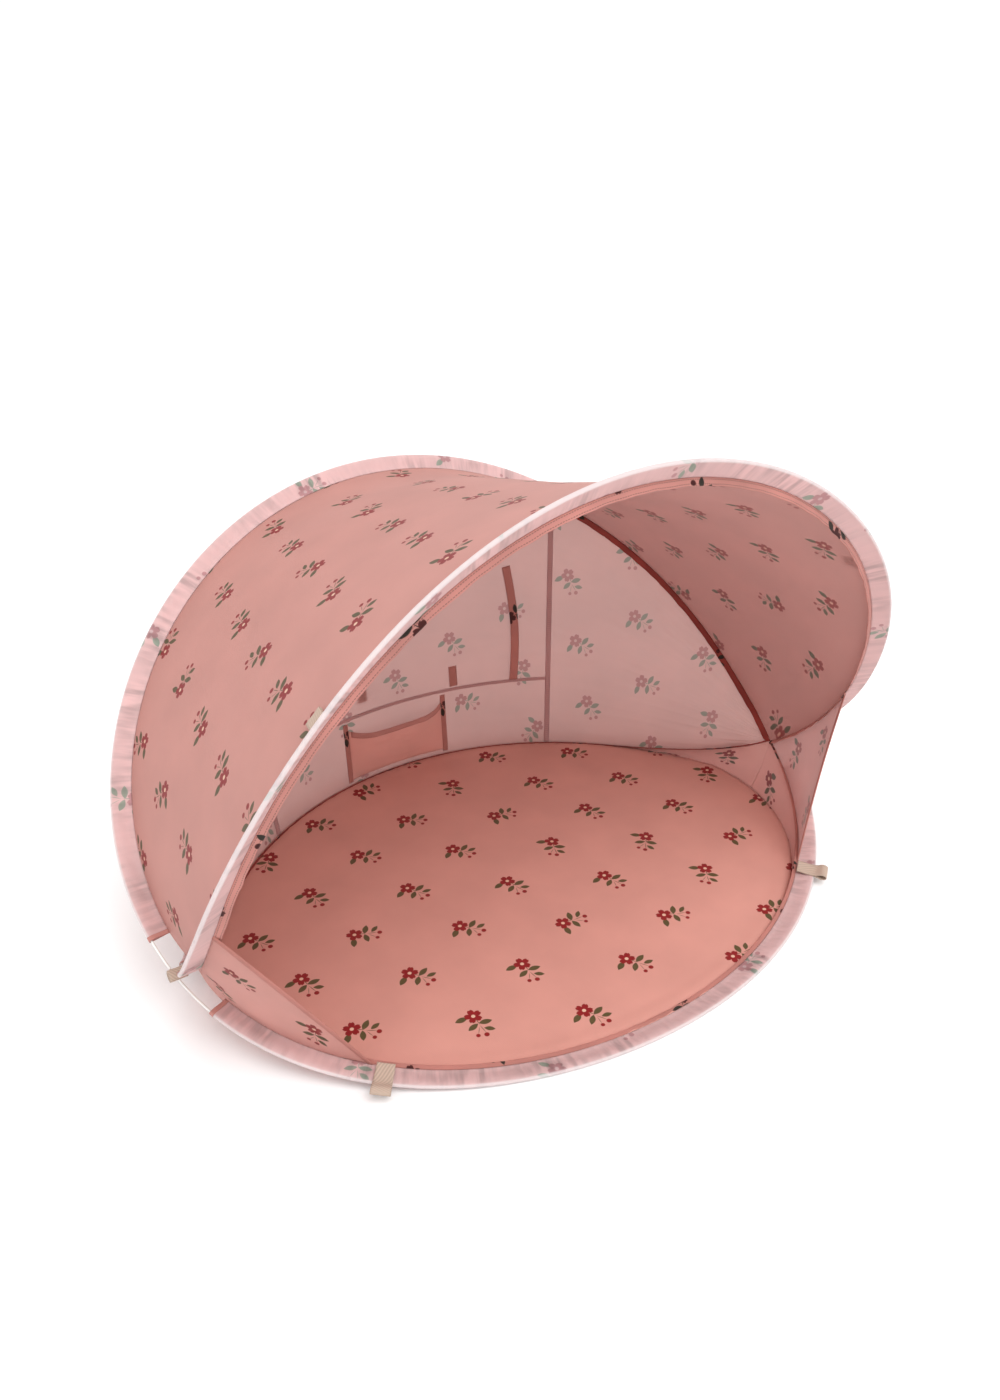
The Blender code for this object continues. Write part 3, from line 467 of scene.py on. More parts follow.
def print_group():
    """Masks of the print's petals, petal eyes and leaves, from cloth coordinates in metres."""
    group = bpy.data.node_groups.new("blossom_print", "ShaderNodeTree")
    node = functools.partial(add, group)
    group.interface.new_socket("Cloth", in_out="INPUT", socket_type="NodeSocketVector")
    for name in ("Petals", "Eyes", "Leaves"):
        group.interface.new_socket(name, in_out="OUTPUT", socket_type="NodeSocketFloat")
    start = group.nodes.new("NodeGroupInput")
    end = group.nodes.new("NodeGroupOutput")
    split = node("SeparateXYZ", node("Mapping", start.outputs[0], Rotation=(0, 0, PRINT_TILT))).node
    rows = node("Math", split.outputs["Y"], PRINT_ROW, operation="DIVIDE")
    row = node("Math", rows, operation="FLOOR")
    odd = node("Math", row, 2.0, operation="FLOORED_MODULO")
    columns = node("Math", split.outputs["X"], PRINT_COLUMN, operation="DIVIDE")
    columns = node("Math", odd, 0.5, columns, operation="MULTIPLY_ADD")
    column = node("Math", columns, operation="FLOOR")
    chance = node("TexWhiteNoise", node("CombineXYZ", column, row), noise_dimensions="2D")
    swing = node("Math", chance, MOTIF_SWING, -MOTIF_SWING / 2, operation="MULTIPLY_ADD")

    def from_cell(place, size):
        part = node("Math", place, operation="FRACT")
        return node("Math", part, size, -size / 2, operation="MULTIPLY_ADD")

    cell = node("CombineXYZ", from_cell(columns, PRINT_COLUMN), from_cell(rows, PRINT_ROW))
    spun = node("VectorRotate", cell, Angle=swing, rotation_type="Z_AXIS")

    def from_middle(x, y):
        return node("VectorMath", spun, (x, y, 0), operation="SUBTRACT")

    def filled(edge, distance):
        depth = node("Math", edge, distance, operation="SUBTRACT")
        return node("Math", depth, PRINT_SOFT, operation="DIVIDE", use_clamp=True)

    x, y, radius = BLOSSOM
    offset = from_middle(x, y)
    distance = node("VectorMath", offset, operation="LENGTH")
    split = node("SeparateXYZ", offset).node
    angle = node("Math", split.outputs["Y"], split.outputs["X"], operation="ARCTAN2")
    half = node("Math", angle, PETALS / 2, operation="MULTIPLY")
    lobe = node("Math", node("Math", half, operation="COSINE"), operation="ABSOLUTE")
    lobe = node("Math", lobe, PETAL_BLUNTNESS, operation="POWER")
    tip = node("Math", node("Math", angle, PETALS, operation="MULTIPLY"), operation="COSINE")
    notch = node("Math", node("Math", tip, NOTCH_START, operation="SUBTRACT"), 0.0, operation="MAXIMUM")
    edge = node("Math", lobe, PETAL_LOBE_SHARE * radius, (1 - PETAL_LOBE_SHARE) * radius,
                operation="MULTIPLY_ADD")
    edge = node("Math", notch, -NOTCH_SHARE * radius, edge, operation="MULTIPLY_ADD")
    petals = filled(edge, distance)
    eyes = filled(EYE_SHARE * radius, distance)
    for x, y, radius in BUDS:
        bud = filled(radius, node("VectorMath", from_middle(x, y), operation="LENGTH"))
        petals = node("Math", petals, bud, operation="MAXIMUM")
    leaves = 0.0
    for x, y, angle, length, half in SPRIG:
        offset = from_middle(x, y)
        forward = (math.cos(angle) * 2 / length, math.sin(angle) * 2 / length, 0)
        share = node("VectorMath", offset, forward, operation="DOT_PRODUCT")
        aside = node("VectorMath", offset, (-math.sin(angle), math.cos(angle), 0), operation="DOT_PRODUCT")
        aside = node("Math", aside, operation="ABSOLUTE")
        square = node("Math", share, share, operation="MULTIPLY")
        leaf = filled(node("Math", square, -half, half, operation="MULTIPLY_ADD"), aside)
        leaves = node("Math", leaves, leaf, operation="MAXIMUM")
    feed(end, Petals=petals, Eyes=eyes, Leaves=leaves)
    return group


PRINT = print_group()

# Threads are drawn 2.4 mm apart, coarser than the real 0.2 mm, so that they show
WEAVE = 2.4 * MM
WEAVE_DEPTH = 0.15 * MM
WHITE = (1.0, 1.0, 1.0, 1.0)
# Size of the patches in which the dye is uneven
PATCH = 1.0 / 9


def wave_scale(spacing):
    """Scale of a wave texture whose bands are a spacing apart."""
    return math.pi * 2 / spacing / 20


def cloth(name, colour, inks=None, marks=(), rough=0.6, glow=0.35, haze=0.3, sheer=0.0, mottle=0.05):
    """Woven polyester: lit threads, light through them, whitened by haze, and see-through gaps."""
    material, node, shader = new_material(name)
    uv = node("TexCoord").node.outputs["UV"]
    patches = node("TexNoise", uv, Scale=1 / PATCH, Detail=3.0)
    tone = node("MapRange", patches, From_Min=0.3, From_Max=0.7, To_Min=1 - mottle, To_Max=1 + mottle)
    base = node("VectorMath", linear(colour)[:3], Scale=tone, operation="SCALE")
    if inks:
        masks = node("Group", node_tree=PRINT, Cloth=uv).node
        for mask, ink in zip(("Leaves", "Petals", "Eyes"), inks):
            base = node("MixRGB", masks.outputs[mask], base, linear(ink))
    for mark in marks:
        base = mark(node, uv, base)
    warp = node("TexWave", uv, bands_direction="X", Scale=wave_scale(WEAVE)).node
    weft = node("TexWave", uv, bands_direction="Y", Scale=wave_scale(WEAVE)).node
    threads = node("Math", warp.outputs["Fac"], weft.outputs["Fac"], operation="MULTIPLY")
    bump = node("Bump", Height=threads, Strength=0.5, Distance=WEAVE_DEPTH)
    feed(shader, Base_Color=base, Roughness=rough, Specular_IOR_Level=0.25, Sheen_Weight=0.1, Normal=bump)
    through = node("BsdfTranslucent", node("MixRGB", haze, base, WHITE))
    surface = node("MixShader", glow, shader.outputs[0], through)
    if sheer:
        surface = node("MixShader", sheer, surface, node("BsdfTransparent"))
    feed(material.node_tree.nodes["Material Output"], Surface=surface)
    return material


def beside(node, place, line):
    """Distance of a place from a line."""
    return node("Math", node("Math", place, line, operation="SUBTRACT"), operation="ABSOLUTE")


def dashes(node, place, spacing, share):
    """1 on the first share of every spacing, and 0 on the rest of it."""
    part = node("Math", node("Math", place, spacing, operation="DIVIDE"), operation="FRACT")
    return node("Math", part, share, operation="LESS_THAN")


# Where the wire lies under the sleeve's cloth, from the cloth's edge, and how wide it shows
WIRE_PLACE = 29.7 * MM
WIRE_SHOWS = (3.2 * MM, 6.5 * MM)


def wire_shows(node, uv, base):
    """The white wire brightens the thin cloth drawn over it."""
    off = beside(node, node("SeparateXYZ", uv).node.outputs["Y"], WIRE_PLACE)
    near, far = WIRE_SHOWS
    mask = node("MapRange", off, interpolation_type="SMOOTHSTEP", From_Min=near, From_Max=far, To_Min=0.75,
                To_Max=0.0)
    return node("MixRGB", mask, base, linear("#F6F0F0"))


# Folds of drawn-up cloth and their slant, and the size of the bunches in which they stand
FOLD_WIDTH = 1.0 / 105
FOLD_LENGTH = 1.0 / 14
FOLD_SLANT = 0.45
BUNCH = 1.0 / 14


def gathered(node, uv, base):
    """Drawn-up cloth lies double in its folds, which look denser than the stretches between; the folds'
    darker tone is also painted crease shade.
    """
    slanted = node("Mapping", uv, Rotation=(0, 0, FOLD_SLANT), Scale=(1 / FOLD_WIDTH, 1 / FOLD_LENGTH, 1))
    folds = node("TexNoise", slanted, Scale=1.0, Detail=2.0)
    # Darker in the folds: partly the double cloth, partly painted crease shade
    tone = node("MapRange", folds, From_Min=0.38, From_Max=0.62, To_Min=0.74, To_Max=1.06)
    drawn = node("VectorMath", base, Scale=tone, operation="SCALE")
    bunches = node("TexNoise", uv, Scale=1 / BUNCH, Detail=1.0)
    crease_shade_share = node("MapRange", bunches, From_Min=0.42, From_Max=0.62, To_Min=0.15, To_Max=1.0)
    return node("MixRGB", crease_shade_share, base, drawn)


# Lines of stitching on a seam allowance, from its seam, and the length and shares of one stitch
STITCH_LINES = (2.5 * MM, 8.5 * MM)
STITCH = 3.4 * MM
STITCH_SHARE = 0.7
STITCH_HALF_WIDTH = 0.6 * MM


def stitched(node, uv, base):
    """Two rows of lockstitch sink into the folded allowance and darken it."""
    split = node("SeparateXYZ", uv).node
    lines = 0.0
    for line in STITCH_LINES:
        near = node("Math", beside(node, split.outputs["Y"], line), STITCH_HALF_WIDTH, operation="LESS_THAN")
        lines = node("Math", lines, near, operation="MAXIMUM")
    part = dashes(node, split.outputs["X"], STITCH, STITCH_SHARE)
    darker = node("VectorMath", base, Scale=0.55, operation="SCALE")
    return node("MixRGB", node("Math", lines, part, operation="MULTIPLY"), base, darker)


# Ladder of the overlock stitch: rung spacing, a rung's share of it and the margin without rungs
RUNG = 4.2 * MM
RUNG_SHARE = 0.45
RUNG_MARGIN = 2.2 * MM


def laddered(node, uv, base):
    """Pale rungs of overlock thread across the tape."""
    split = node("SeparateXYZ", uv).node
    inside = node("Math", beside(node, split.outputs["Y"], TAPE_WIDTH / 2), TAPE_WIDTH / 2 - RUNG_MARGIN,
                  operation="LESS_THAN")
    part = dashes(node, split.outputs["X"], RUNG, RUNG_SHARE)
    return node("MixRGB", node("Math", inside, part, operation="MULTIPLY"), base, linear("#C79A95"))


# Inks of the print's leaves, petals and petal eyes
FACE_INK = ("#5C5030", "#8E1B1E", "#E6BFA6")
BACK_INK = ("#76705A", "#A5524C", "#CFA596")
THROUGH_INK = ("#7F7A60", "#B0605A", "#D0A89C")
DARK_BITS = ("#2E2A20", "#4A1714", "#4A1714")
PALE_INK = ("#A9B3A4", "#CFA0A2", "#E3C8C8")

# Thin dyed and printed polyester: matt, the print full on its face and faint behind it
CANOPY_FACE = cloth("printed_polyester_face", "#C98F85", FACE_INK, glow=0.30, haze=0.35)
CANOPY_BACK = cloth("printed_polyester_back", "#D1A098", BACK_INK, glow=0.48, haze=0.5)
# Sheer voile: daylight comes through nearly white, and what is behind it shows faintly
WALL_FACE, WALL_BACK = (cloth(f"sheer_voile_{face}", "#D6A79E", THROUGH_INK, glow=0.52, haze=0.4, sheer=0.14)
                        for face in ("face", "back"))
# Coated cloth: denser, with a faint sheen
FLOOR_FACE = cloth("coated_floor_cloth", "#D99C8F", FACE_INK, rough=0.45, glow=0.08)
FLOOR_BACK = cloth("coated_floor_back", "#D39A8D", rough=0.5, glow=0.08)
# One pale pink layer drawn up round the wire: nearly white where the wire backs it
SLEEVE_CLOTH = cloth("pale_sleeve_cloth", "#EECFCD", PALE_INK, (gathered, wire_shows), glow=0.45, haze=0.4,
                     sheer=0.08, mottle=0.03)
# Single printed layer at the sides: light falls through it
SIDE_CLOTH = cloth("side_panel_cloth", "#DFA89E", FACE_INK, glow=0.45, haze=0.4, sheer=0.04)
SIDE_BACK = cloth("side_panel_reverse", "#CF9A93", BACK_INK, glow=0.5, haze=0.55, sheer=0.08)
# Plain voile of the pocket: it has no print, and light comes through it
POCKET_CLOTH = cloth("doubled_pocket_cloth", "#F6C2B5", glow=0.55, haze=0.45, sheer=0.06)
# Folded hems are dense, and a seam allowance shows its rows of stitching
HEM_CLOTH = cloth("folded_hem_cloth", "#C98D83", glow=0.15)
ALLOWANCE_CLOTH = cloth("stitched_allowance", "#D3948A", DARK_BITS, (stitched,), glow=0.3, mottle=0.15)
# Ribbon and binding: closely woven. The binding's dark red is partly its several layers and partly painted
# shade, for the rear seams it binds lie in shade.
RIBBON_CLOTH = cloth("close_ribbon", "#CC8B80", DARK_BITS, glow=0.4, mottle=0.12)
SHADED_BINDING_CLOTH = cloth("shaded_bound_seam_cloth", "#8F3A31", DARK_BITS, glow=0.05, mottle=0.3)
TAPE_CLOTH = cloth("overlocked_tape", "#C49694", marks=(laddered,), glow=0.2, mottle=0.15)

# Ribs of the webbing, patches in the wire's paint and grain of the ferrules' steel
RIB = 2.2 * MM
RIB_DEPTH = 0.3 * MM
PAINT_PATCH = 1.0 / 60
STEEL_GRAIN = 1.0 / 900


def webbing():
    """Woven polypropylene webbing: matt, with slanted ribs across the band."""
    material, node, shader = new_material("woven_webbing")
    uv = node("TexCoord").node.outputs["UV"]
    ribs = node("TexWave", uv, bands_direction="DIAGONAL", Scale=wave_scale(RIB)).node.outputs["Fac"]
    # The ribs' tone paints shade into the grooves between them
    tone = node("MapRange", ribs, To_Min=0.8, To_Max=1.05)
    base = node("VectorMath", linear("#BEA796")[:3], Scale=tone, operation="SCALE")
    bump = node("Bump", Height=ribs, Strength=0.6, Distance=RIB_DEPTH)
    feed(shader, Base_Color=base, Roughness=0.85, Normal=bump)
    return material


def coated_wire():
    """Spring steel in white paint: smooth and slightly glossy, a little uneven in tone."""
    material, node, shader = new_material("white_coated_wire")
    spots = node("TexNoise", node("TexCoord").node.outputs["Object"], Scale=1 / PAINT_PATCH)
    tone = node("MapRange", spots, To_Min=0.93, To_Max=1.02)
    base = node("VectorMath", linear("#EFEEEA")[:3], Scale=tone, operation="SCALE")
    feed(shader, Base_Color=base, Roughness=0.35)
    return material


WEBBING = webbing()
WIRE = coated_wire()


# Making pieces


def apply_modifiers(obj):
    """Apply every modifier of the active object."""
    for modifier in list(obj.modifiers):
        bpy.ops.object.modifier_apply(modifier=modifier.name)


def sheet(name, columns, rows, place, cloth_place, materials, facing, thickness=CLOTH, closed=False):
    """A cloth panel: a grid laid along a curved surface, joined up if closed, and made thick."""
    bpy.ops.object.select_all(action="DESELECT")
    bpy.ops.mesh.primitive_grid_add(x_subdivisions=columns, y_subdivisions=rows, size=1.0)
    obj = bpy.context.object
    obj.name = name
    mesh = obj.data
    mesh.name = name
    spots = [(v.co.x + 0.5, v.co.y + 0.5) for v in mesh.vertices]
    for vertex, (a, b) in zip(mesh.vertices, spots):
        vertex.co = place(a, b)
    flat = [cloth_place(a, b) for a, b in spots]
    layer = mesh.uv_layers.active.data
    for loop in mesh.loops:
        layer[loop.index].uv = flat[loop.vertex_index]
    mesh.update()
    middle = mesh.polygons[len(mesh.polygons) // 2 + columns // 2]
    if middle.normal.dot(facing) < 0:
        mesh.flip_normals()
    for material in materials:
        mesh.materials.append(material)
    if closed:
        bpy.ops.object.mode_set(mode="EDIT")
        bpy.ops.mesh.select_all(action="SELECT")
        bpy.ops.mesh.remove_doubles(threshold=0.02 * MM)
        bpy.ops.object.mode_set(mode="OBJECT")
    mesh.shade_smooth()
    solid = obj.modifiers.new("thickness", "SOLIDIFY")
    solid.thickness = thickness
    solid.offset = 0.0
    solid.material_offset = len(materials) - 1
    solid.use_quality_normals = True
    apply_modifiers(obj)
    return obj


def mirrored(point, side):
    """The point, or its mirror image across the middle plane."""
    return Vector((side * point.x, point.y, point.z))


def settle(obj, body, slot, *nodes):
    """Body, material slot (not used) and replaced nodes of a finished piece."""
    if body:
        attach(obj, body)
    if nodes:
        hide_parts(*nodes)


# Wires and their wraps


def tube(name, path, radius, material):
    """A round wire along a path, made a mesh."""
    bpy.ops.object.select_all(action="DESELECT")
    bpy.ops.curve.primitive_nurbs_path_add()
    obj = bpy.context.object
    obj.name = name
    curve = obj.data
    curve.splines.clear()
    spline = curve.splines.new("POLY")
    spline.points.add(len(path) - 1)
    for point, place in zip(spline.points, path):
        point.co = (*place, 1.0)
    curve.bevel_depth = radius
    curve.bevel_resolution = 4
    curve.use_fill_caps = True
    curve.materials.append(material)
    bpy.ops.object.convert(target="MESH")
    obj = bpy.context.object
    obj.data.shade_smooth()
    return obj


def wires():
    """The four halves of the two hoops' wires."""
    reach = STRAP_RADIUS + GAP + WIRE_RADIUS / 2
    for name, arc, body in (("rear_ground_wire", REAR_GROUND, "rear_base"),
                            ("rear_arch_wire", REAR_ARCH, "rear_arch"),
                            ("front_arch_wire", FRONT_ARCH, "front_arch"),
                            ("front_ground_wire", FRONT_GROUND, "front_base")):
        distance = (arc.point(arc.length - reach) - AXIS).yz.length
        clear = reach * reach / distance
        path = [arc.point(clear + (arc.length - 2 * clear) * i / WIRE_STEPS) for i in range(WIRE_STEPS + 1)]
        piece = tube(f"{name}_round", path, WIRE_RADIUS, WIRE)
        settle(piece, body, "spring_wire", name)


def straps():
    """Webbing wound round both wires where they cross."""
    right = (BACK.point(crossing_phi(BACK)).x + FRONT.point(crossing_phi(FRONT)).x) / 2
    for side_name, side in SIDES.items():
        centre = Vector((side * right, AXIS.y, AXIS.z))

        def wound(a, b):
            turn = b * STRAP_TURNS * math.pi * 2
            radius = STRAP_START + STRAP_GROWTH * b + 0.25 * MM * ripple(a * 3, b * 9, 1)
            return centre + Vector(((a - 0.5) * STRAP_WIDTH, radius * math.sin(turn),
                                    radius * math.cos(turn)))
        piece = sheet(f"webbing_wrap_{side_name}", 8, 120, wound, lambda a, b: (a * STRAP_WIDTH, b * 0.12),
                      [WEBBING], Vector((0, 0, 1)), 1.1 * MM)
        settle(piece, "rear_base", "webbing", f"crossing_strap_{side_name}")


# Sleeves


def sleeve_section(share):
    """Inset and lift round the sleeve, and the share of the way over its upper layer."""
    if share < UNDER_SHARE:
        return SLEEVE_WIDTH * (1 - share / UNDER_SHARE), -SLEEVE_RADIUS, -1.0
    if share < OVER_SHARE:
        turn = math.pi * (share - UNDER_SHARE) / (OVER_SHARE - UNDER_SHARE)
        return -SLEEVE_RADIUS * math.sin(turn), -SLEEVE_RADIUS * math.cos(turn), -1.0
    over = (share - OVER_SHARE) / (1 - OVER_SHARE)
    fall = rounded(over * 1.15)
    return SLEEVE_WIDTH * over, SLEEVE_RADIUS + (SEAM_LEVEL - SLEEVE_RADIUS + 0.4 * MM) * fall, over


def sleeve(name, arc, body, gather, wave, slant, seed):
    """Gathered cloth sleeve: folded over the wire and closed at its inner seam."""
    length = arc.length - 2 * arc.bare
    columns = int(length / (1.6 * MM))

    def place(a, b):
        inset, lift, over = sleeve_section(b)
        distance = arc.bare + length * a
        if over > 0:
            band = math.sin(math.pi * min(over, 0.97)) ** 0.6
            phase = (distance + slant * inset) / wave
            puffs = 0.5 + 0.5 * ripple(distance * 9, 0.0, seed + 3)
            lift += gather * band * (0.25 + 0.75 * puffs) * (0.6 + ripple(phase, inset * 30, seed))
            lift += 0.5 * gather * band * ripple(distance * 25, inset * 60, seed + 1)
        elif over < 0 and lift > -SLEEVE_RADIUS * 0.98:
            lift += 0.15 * gather * ripple(distance / wave * 1.3, 0.0, seed + 2)
        return arc.point(distance, inset, lift)

    around = SLEEVE_WIDTH * 2 + math.pi * SLEEVE_RADIUS
    piece = sheet(name, columns, 34, place, lambda a, b: (a * length, b * around), [SLEEVE_CLOTH],
                  arc.outward(arc.length / 2))
    settle(piece, body, "sleeve_cloth", name.replace("_cloth", "_sleeve"))
    for side_name, side in SIDES.items():
        def hem_place(a, b):
            inset, lift, _ = sleeve_section(b)
            grow = 0.7 * MM
            if inset > 0:
                inset = min(inset, SLEEVE_WIDTH)
            else:
                inset -= grow
            lift += grow if b > (UNDER_SHARE + OVER_SHARE) / 2 else -0.1 * MM
            offset = arc.bare + (a - 0.15) * SLEEVE_HEM
            return arc.point(arc.length - offset if side > 0 else offset, inset, lift)
        hem = sheet(f"{name}_hem_{side_name}", 6, 34, hem_place, lambda a, b: (a * SLEEVE_HEM, b * around),
                    [HEM_CLOTH], mirrored(arc.outward(arc.bare), -side))
        settle(hem, body, "trim_cloth")


def sleeves():
    """All four sleeves; the front ground band is the most gathered."""
    sleeve("front_ground_cloth", FRONT_GROUND, "front_base", 1.9 * MM, 6.5 * MM, 0.25, 11)
    sleeve("rear_ground_cloth", REAR_GROUND, "rear_base", 1.2 * MM, 8 * MM, 0.3, 12)
    sleeve("rear_arch_cloth", REAR_ARCH, "rear_arch", 1.0 * MM, 14 * MM, 1.2, 13)
    sleeve("front_arch_cloth", FRONT_ARCH, "front_arch", 1.0 * MM, 13 * MM, 1.0, 14)


# Canopy. Its direction points across the cloth from the rear arch to the front arch.


def to_axis(point):
    """Direction from a point straight to the fold axis."""
    return (AXIS - Vector((0, point.y, point.z))).normalized()


def canopy_point(share, rise):
    """Point of the canopy: share runs left to right, rise from rear arch to front arch."""
    rear = REAR_ARCH.seam_point(share)
    front = FRONT_ARCH.seam_point(share)
    point = rear + (front - rear) * rise
    crown = max(math.sin(math.pi * share), 0.0)
    dip = CANOPY_DIP * 4 * rise * (1 - rise) * crown ** 2
    valley = (rise - VALLEY_PLACE_SHARE) / VALLEY_WIDTH_SHARE
    dip += VALLEY_DEPTH * math.exp(-valley ** 2) * crown ** 8 * min(rise / 0.04, 1.0)
    return point + to_axis(point) * dip


def canopy():
    """The roof between the two arches."""
    middle = [canopy_point(i / 100, 0.5) for i in range(101)]
    along = running_length(middle)
    widths = [(FRONT_ARCH.seam_point(i / 100) - REAR_ARCH.seam_point(i / 100)).length for i in range(101)]

    def place(share, rise):
        point = canopy_point(share, rise)
        edge = min(rise, 1 - rise) * interpolated(widths, share)
        pucker = 0.7 * MM * math.exp(-edge / (14 * MM)) * ripple(share * 190, rise * 2, 21)
        sway = 1.6 * MM * ripple(share * 9, rise * 3, 22) * min(edge / (60 * MM), 1.0)
        drag = 0.8 * MM * ripple(share * 40 + rise * 9, rise * 5, 23) * min(edge / (30 * MM), 1.0)
        return point + to_axis(point) * (pucker + sway + drag)

    def cloth_place(share, rise):
        return interpolated(along, share), (rise - 0.5) * interpolated(widths, share)

    outward = canopy_point(0.5, 0.5) - AXIS
    piece = sheet("canopy_cloth", 360, 110, place, cloth_place, [CANOPY_FACE, CANOPY_BACK], outward)
    settle(piece, None, "canopy_cloth", "canopy")
    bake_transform(piece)


def seam_allowances():
    """Hemmed and bound seam allowances that stand inwards from the sleeves' seams."""
    for name, arc, body, (depth, angle), material, seed in (
            ("front_seam_hem", FRONT_ARCH, "front_arch", FRONT_ALLOWANCE, ALLOWANCE_CLOTH, 24),
            ("rear_arch_binding", REAR_ARCH, "rear_arch", REAR_ALLOWANCE, SHADED_BINDING_CLOTH, 31),
            ("rear_ground_binding", REAR_GROUND, "rear_base", GROUND_ALLOWANCE, SHADED_BINDING_CLOTH, 32),
            ("front_ground_binding", FRONT_GROUND, "front_base", GROUND_ALLOWANCE, RIBBON_CLOTH, 33)):
        def place(share, b):
            taper = rounded(min(share, 1 - share) / ALLOWANCE_TAPER_SHARE)
            waver = 1 + 0.12 * ripple(share * 90, 3.0, seed)
            swing = 0.14 * ripple(share * 160, b, seed) * b
            return arc.allowance_point(share, ALLOWANCE_START + depth * b * waver * taper, angle + swing)
        length = path_length(arc.seam_point, 100)
        facing = arc.allowance_point(0.5, depth, angle + 0.5) - arc.allowance_point(0.5, depth, angle)
        piece = sheet(name, 560, 5, place, lambda a, b: (a * length, b * depth),
                      [material], facing, ALLOWANCE_THICKNESS)
        settle(piece, body, "trim_cloth")


# Back wall. Its direction points across the cloth from the ground to the rear arch.


def drawn_in(share):
    """Share along the rear arch that the wall reaches from a share along the ground."""
    return share + WALL_DRAW_SHARE * math.sin(2 * math.pi * share)


def wall_point(share, rise, lift=0.0):
    """Point of the back wall: rise runs from the ground seam up to the rear arch."""
    low = REAR_GROUND.seam_point(share)
    high = REAR_ARCH.seam_point(drawn_in(share))
    point = low + (high - low) * rise
    if lift:
        step = 0.01
        across = wall_point(share + step, rise) - wall_point(share - step, rise)
        normal = across.cross(high - low).normalized()
        if normal.y > 0:
            normal.negate()
        point = point + normal * lift
    return point


def wall_rise(share, height):
    """Rise at which the wall reaches a height above the ground."""
    low = wall_point(share, 0.0).z
    high = wall_point(share, 1.0).z
    return (height - low) / (high - low)


@functools.cache
def wall_share(place, height):
    """Share at which the wall reaches a sideways place, at a height."""
    return bisect(lambda share: wall_point(share, wall_rise(share, height)).x - place, 0.2, 0.8)


FLAP_SIDE_SHARE = wall_share(-FLAP_HALF_WIDTH, FLAP_HEIGHT)


def wall_turn(piece):
    """Placement of a piece on the wall, baked into its mesh."""
    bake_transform(piece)


def wrinkled_wall(share, rise, seed):
    """Wall point with the fine level wrinkles of slack voile."""
    span = min(rise, 1 - rise)
    fade = min(span / 0.06, 1.0)
    fine = 0.9 * MM * ripple(share * 14, rise * 34, seed)
    broad = 2.0 * MM * ripple(share * 6, rise * 5, seed + 1)
    pucker = 0.7 * MM * (1 - fade) * ripple(share * 170, rise * 4, seed + 2)
    return wall_point(share, rise, (fine + broad) * fade + pucker + 1e-6)


def back_wall():
    """Side panels, lower panel and vent flap."""
    shares = [i / 100 for i in range(101)]
    along = running_length([wall_point(share, 0.5) for share in shares])
    heights = [(wall_point(share, 1.0) - wall_point(share, 0.0)).length for share in shares]

    def cloth_place(share, rise):
        return interpolated(along, share), rise * interpolated(heights, share)

    side = FLAP_SIDE_SHARE
    panels = (
        ("back_wall_left", 0.0, side, lambda s: 0.0, lambda s: 1.0, 110, 120),
        ("back_wall_right", 1 - side, 1.0, lambda s: 0.0, lambda s: 1.0, 110, 120),
        ("back_wall_lower", side, 1 - side, lambda s: 0.0, lambda s: wall_rise(s, FLAP_HEIGHT), 150, 40),
        ("vent_flap", side, 1 - side, lambda s: wall_rise(s, FLAP_HEIGHT), lambda s: 1.0, 150, 90),
    )
    for name, first, last, bottom, top, columns, rows in panels:
        def grid_place(a, b):
            share = first + (last - first) * a
            return share, bottom(share) + (top(share) - bottom(share)) * b

        def place(a, b):
            return wrinkled_wall(*grid_place(a, b), 41)

        def uv_place(a, b):
            return cloth_place(*grid_place(a, b))

        piece = sheet(f"{name}_cloth", columns, rows, place, uv_place, [WALL_BACK, WALL_FACE],
                      wall_point(0.5, 0.5, 1.0) - wall_point(0.5, 0.5))
        still = name == "back_wall_lower"
        settle(piece, "rear_base" if still else None, "wall_cloth", name)
        if not still:
            wall_turn(piece)
        width = interpolated(along, last) - interpolated(along, first)
        middles = [first + (last - first) * (i + 0.5) / 30 for i in range(30)]
        tall = [(top(share) - bottom(share)) * interpolated(heights, share) for share in middles]


def wall_strip(name, path, width, lift, material, thickness, columns, seed):
    """Flat strip on the wall along a function of shares and rises."""
    length = path_length(lambda a: wall_point(*path(a)))

    def place(a, b):
        share, rise = path(a)
        before = wall_point(*path(max(a - 0.01, 0.0)))
        after = wall_point(*path(min(a + 0.01, 1.0)))
        along = (after - before).normalized()
        here = wall_point(share, rise)
        normal = (wall_point(share, rise, 1 * MM) - here).normalized()
        across = along.cross(normal).normalized()
        flutter = 0.35 * MM * ripple(a * length / (9 * MM), b * 2, seed)
        level = lift(a) + (flutter if lift(a) > 0 else -flutter)
        return here + normal * level + across * ((b - 0.5) * width)

    facing = wall_point(*path(0.5), 1 * MM) - wall_point(*path(0.5))
    return sheet(name, columns, 5, place, lambda a, b: (a * length, b * width), [material], facing, thickness)


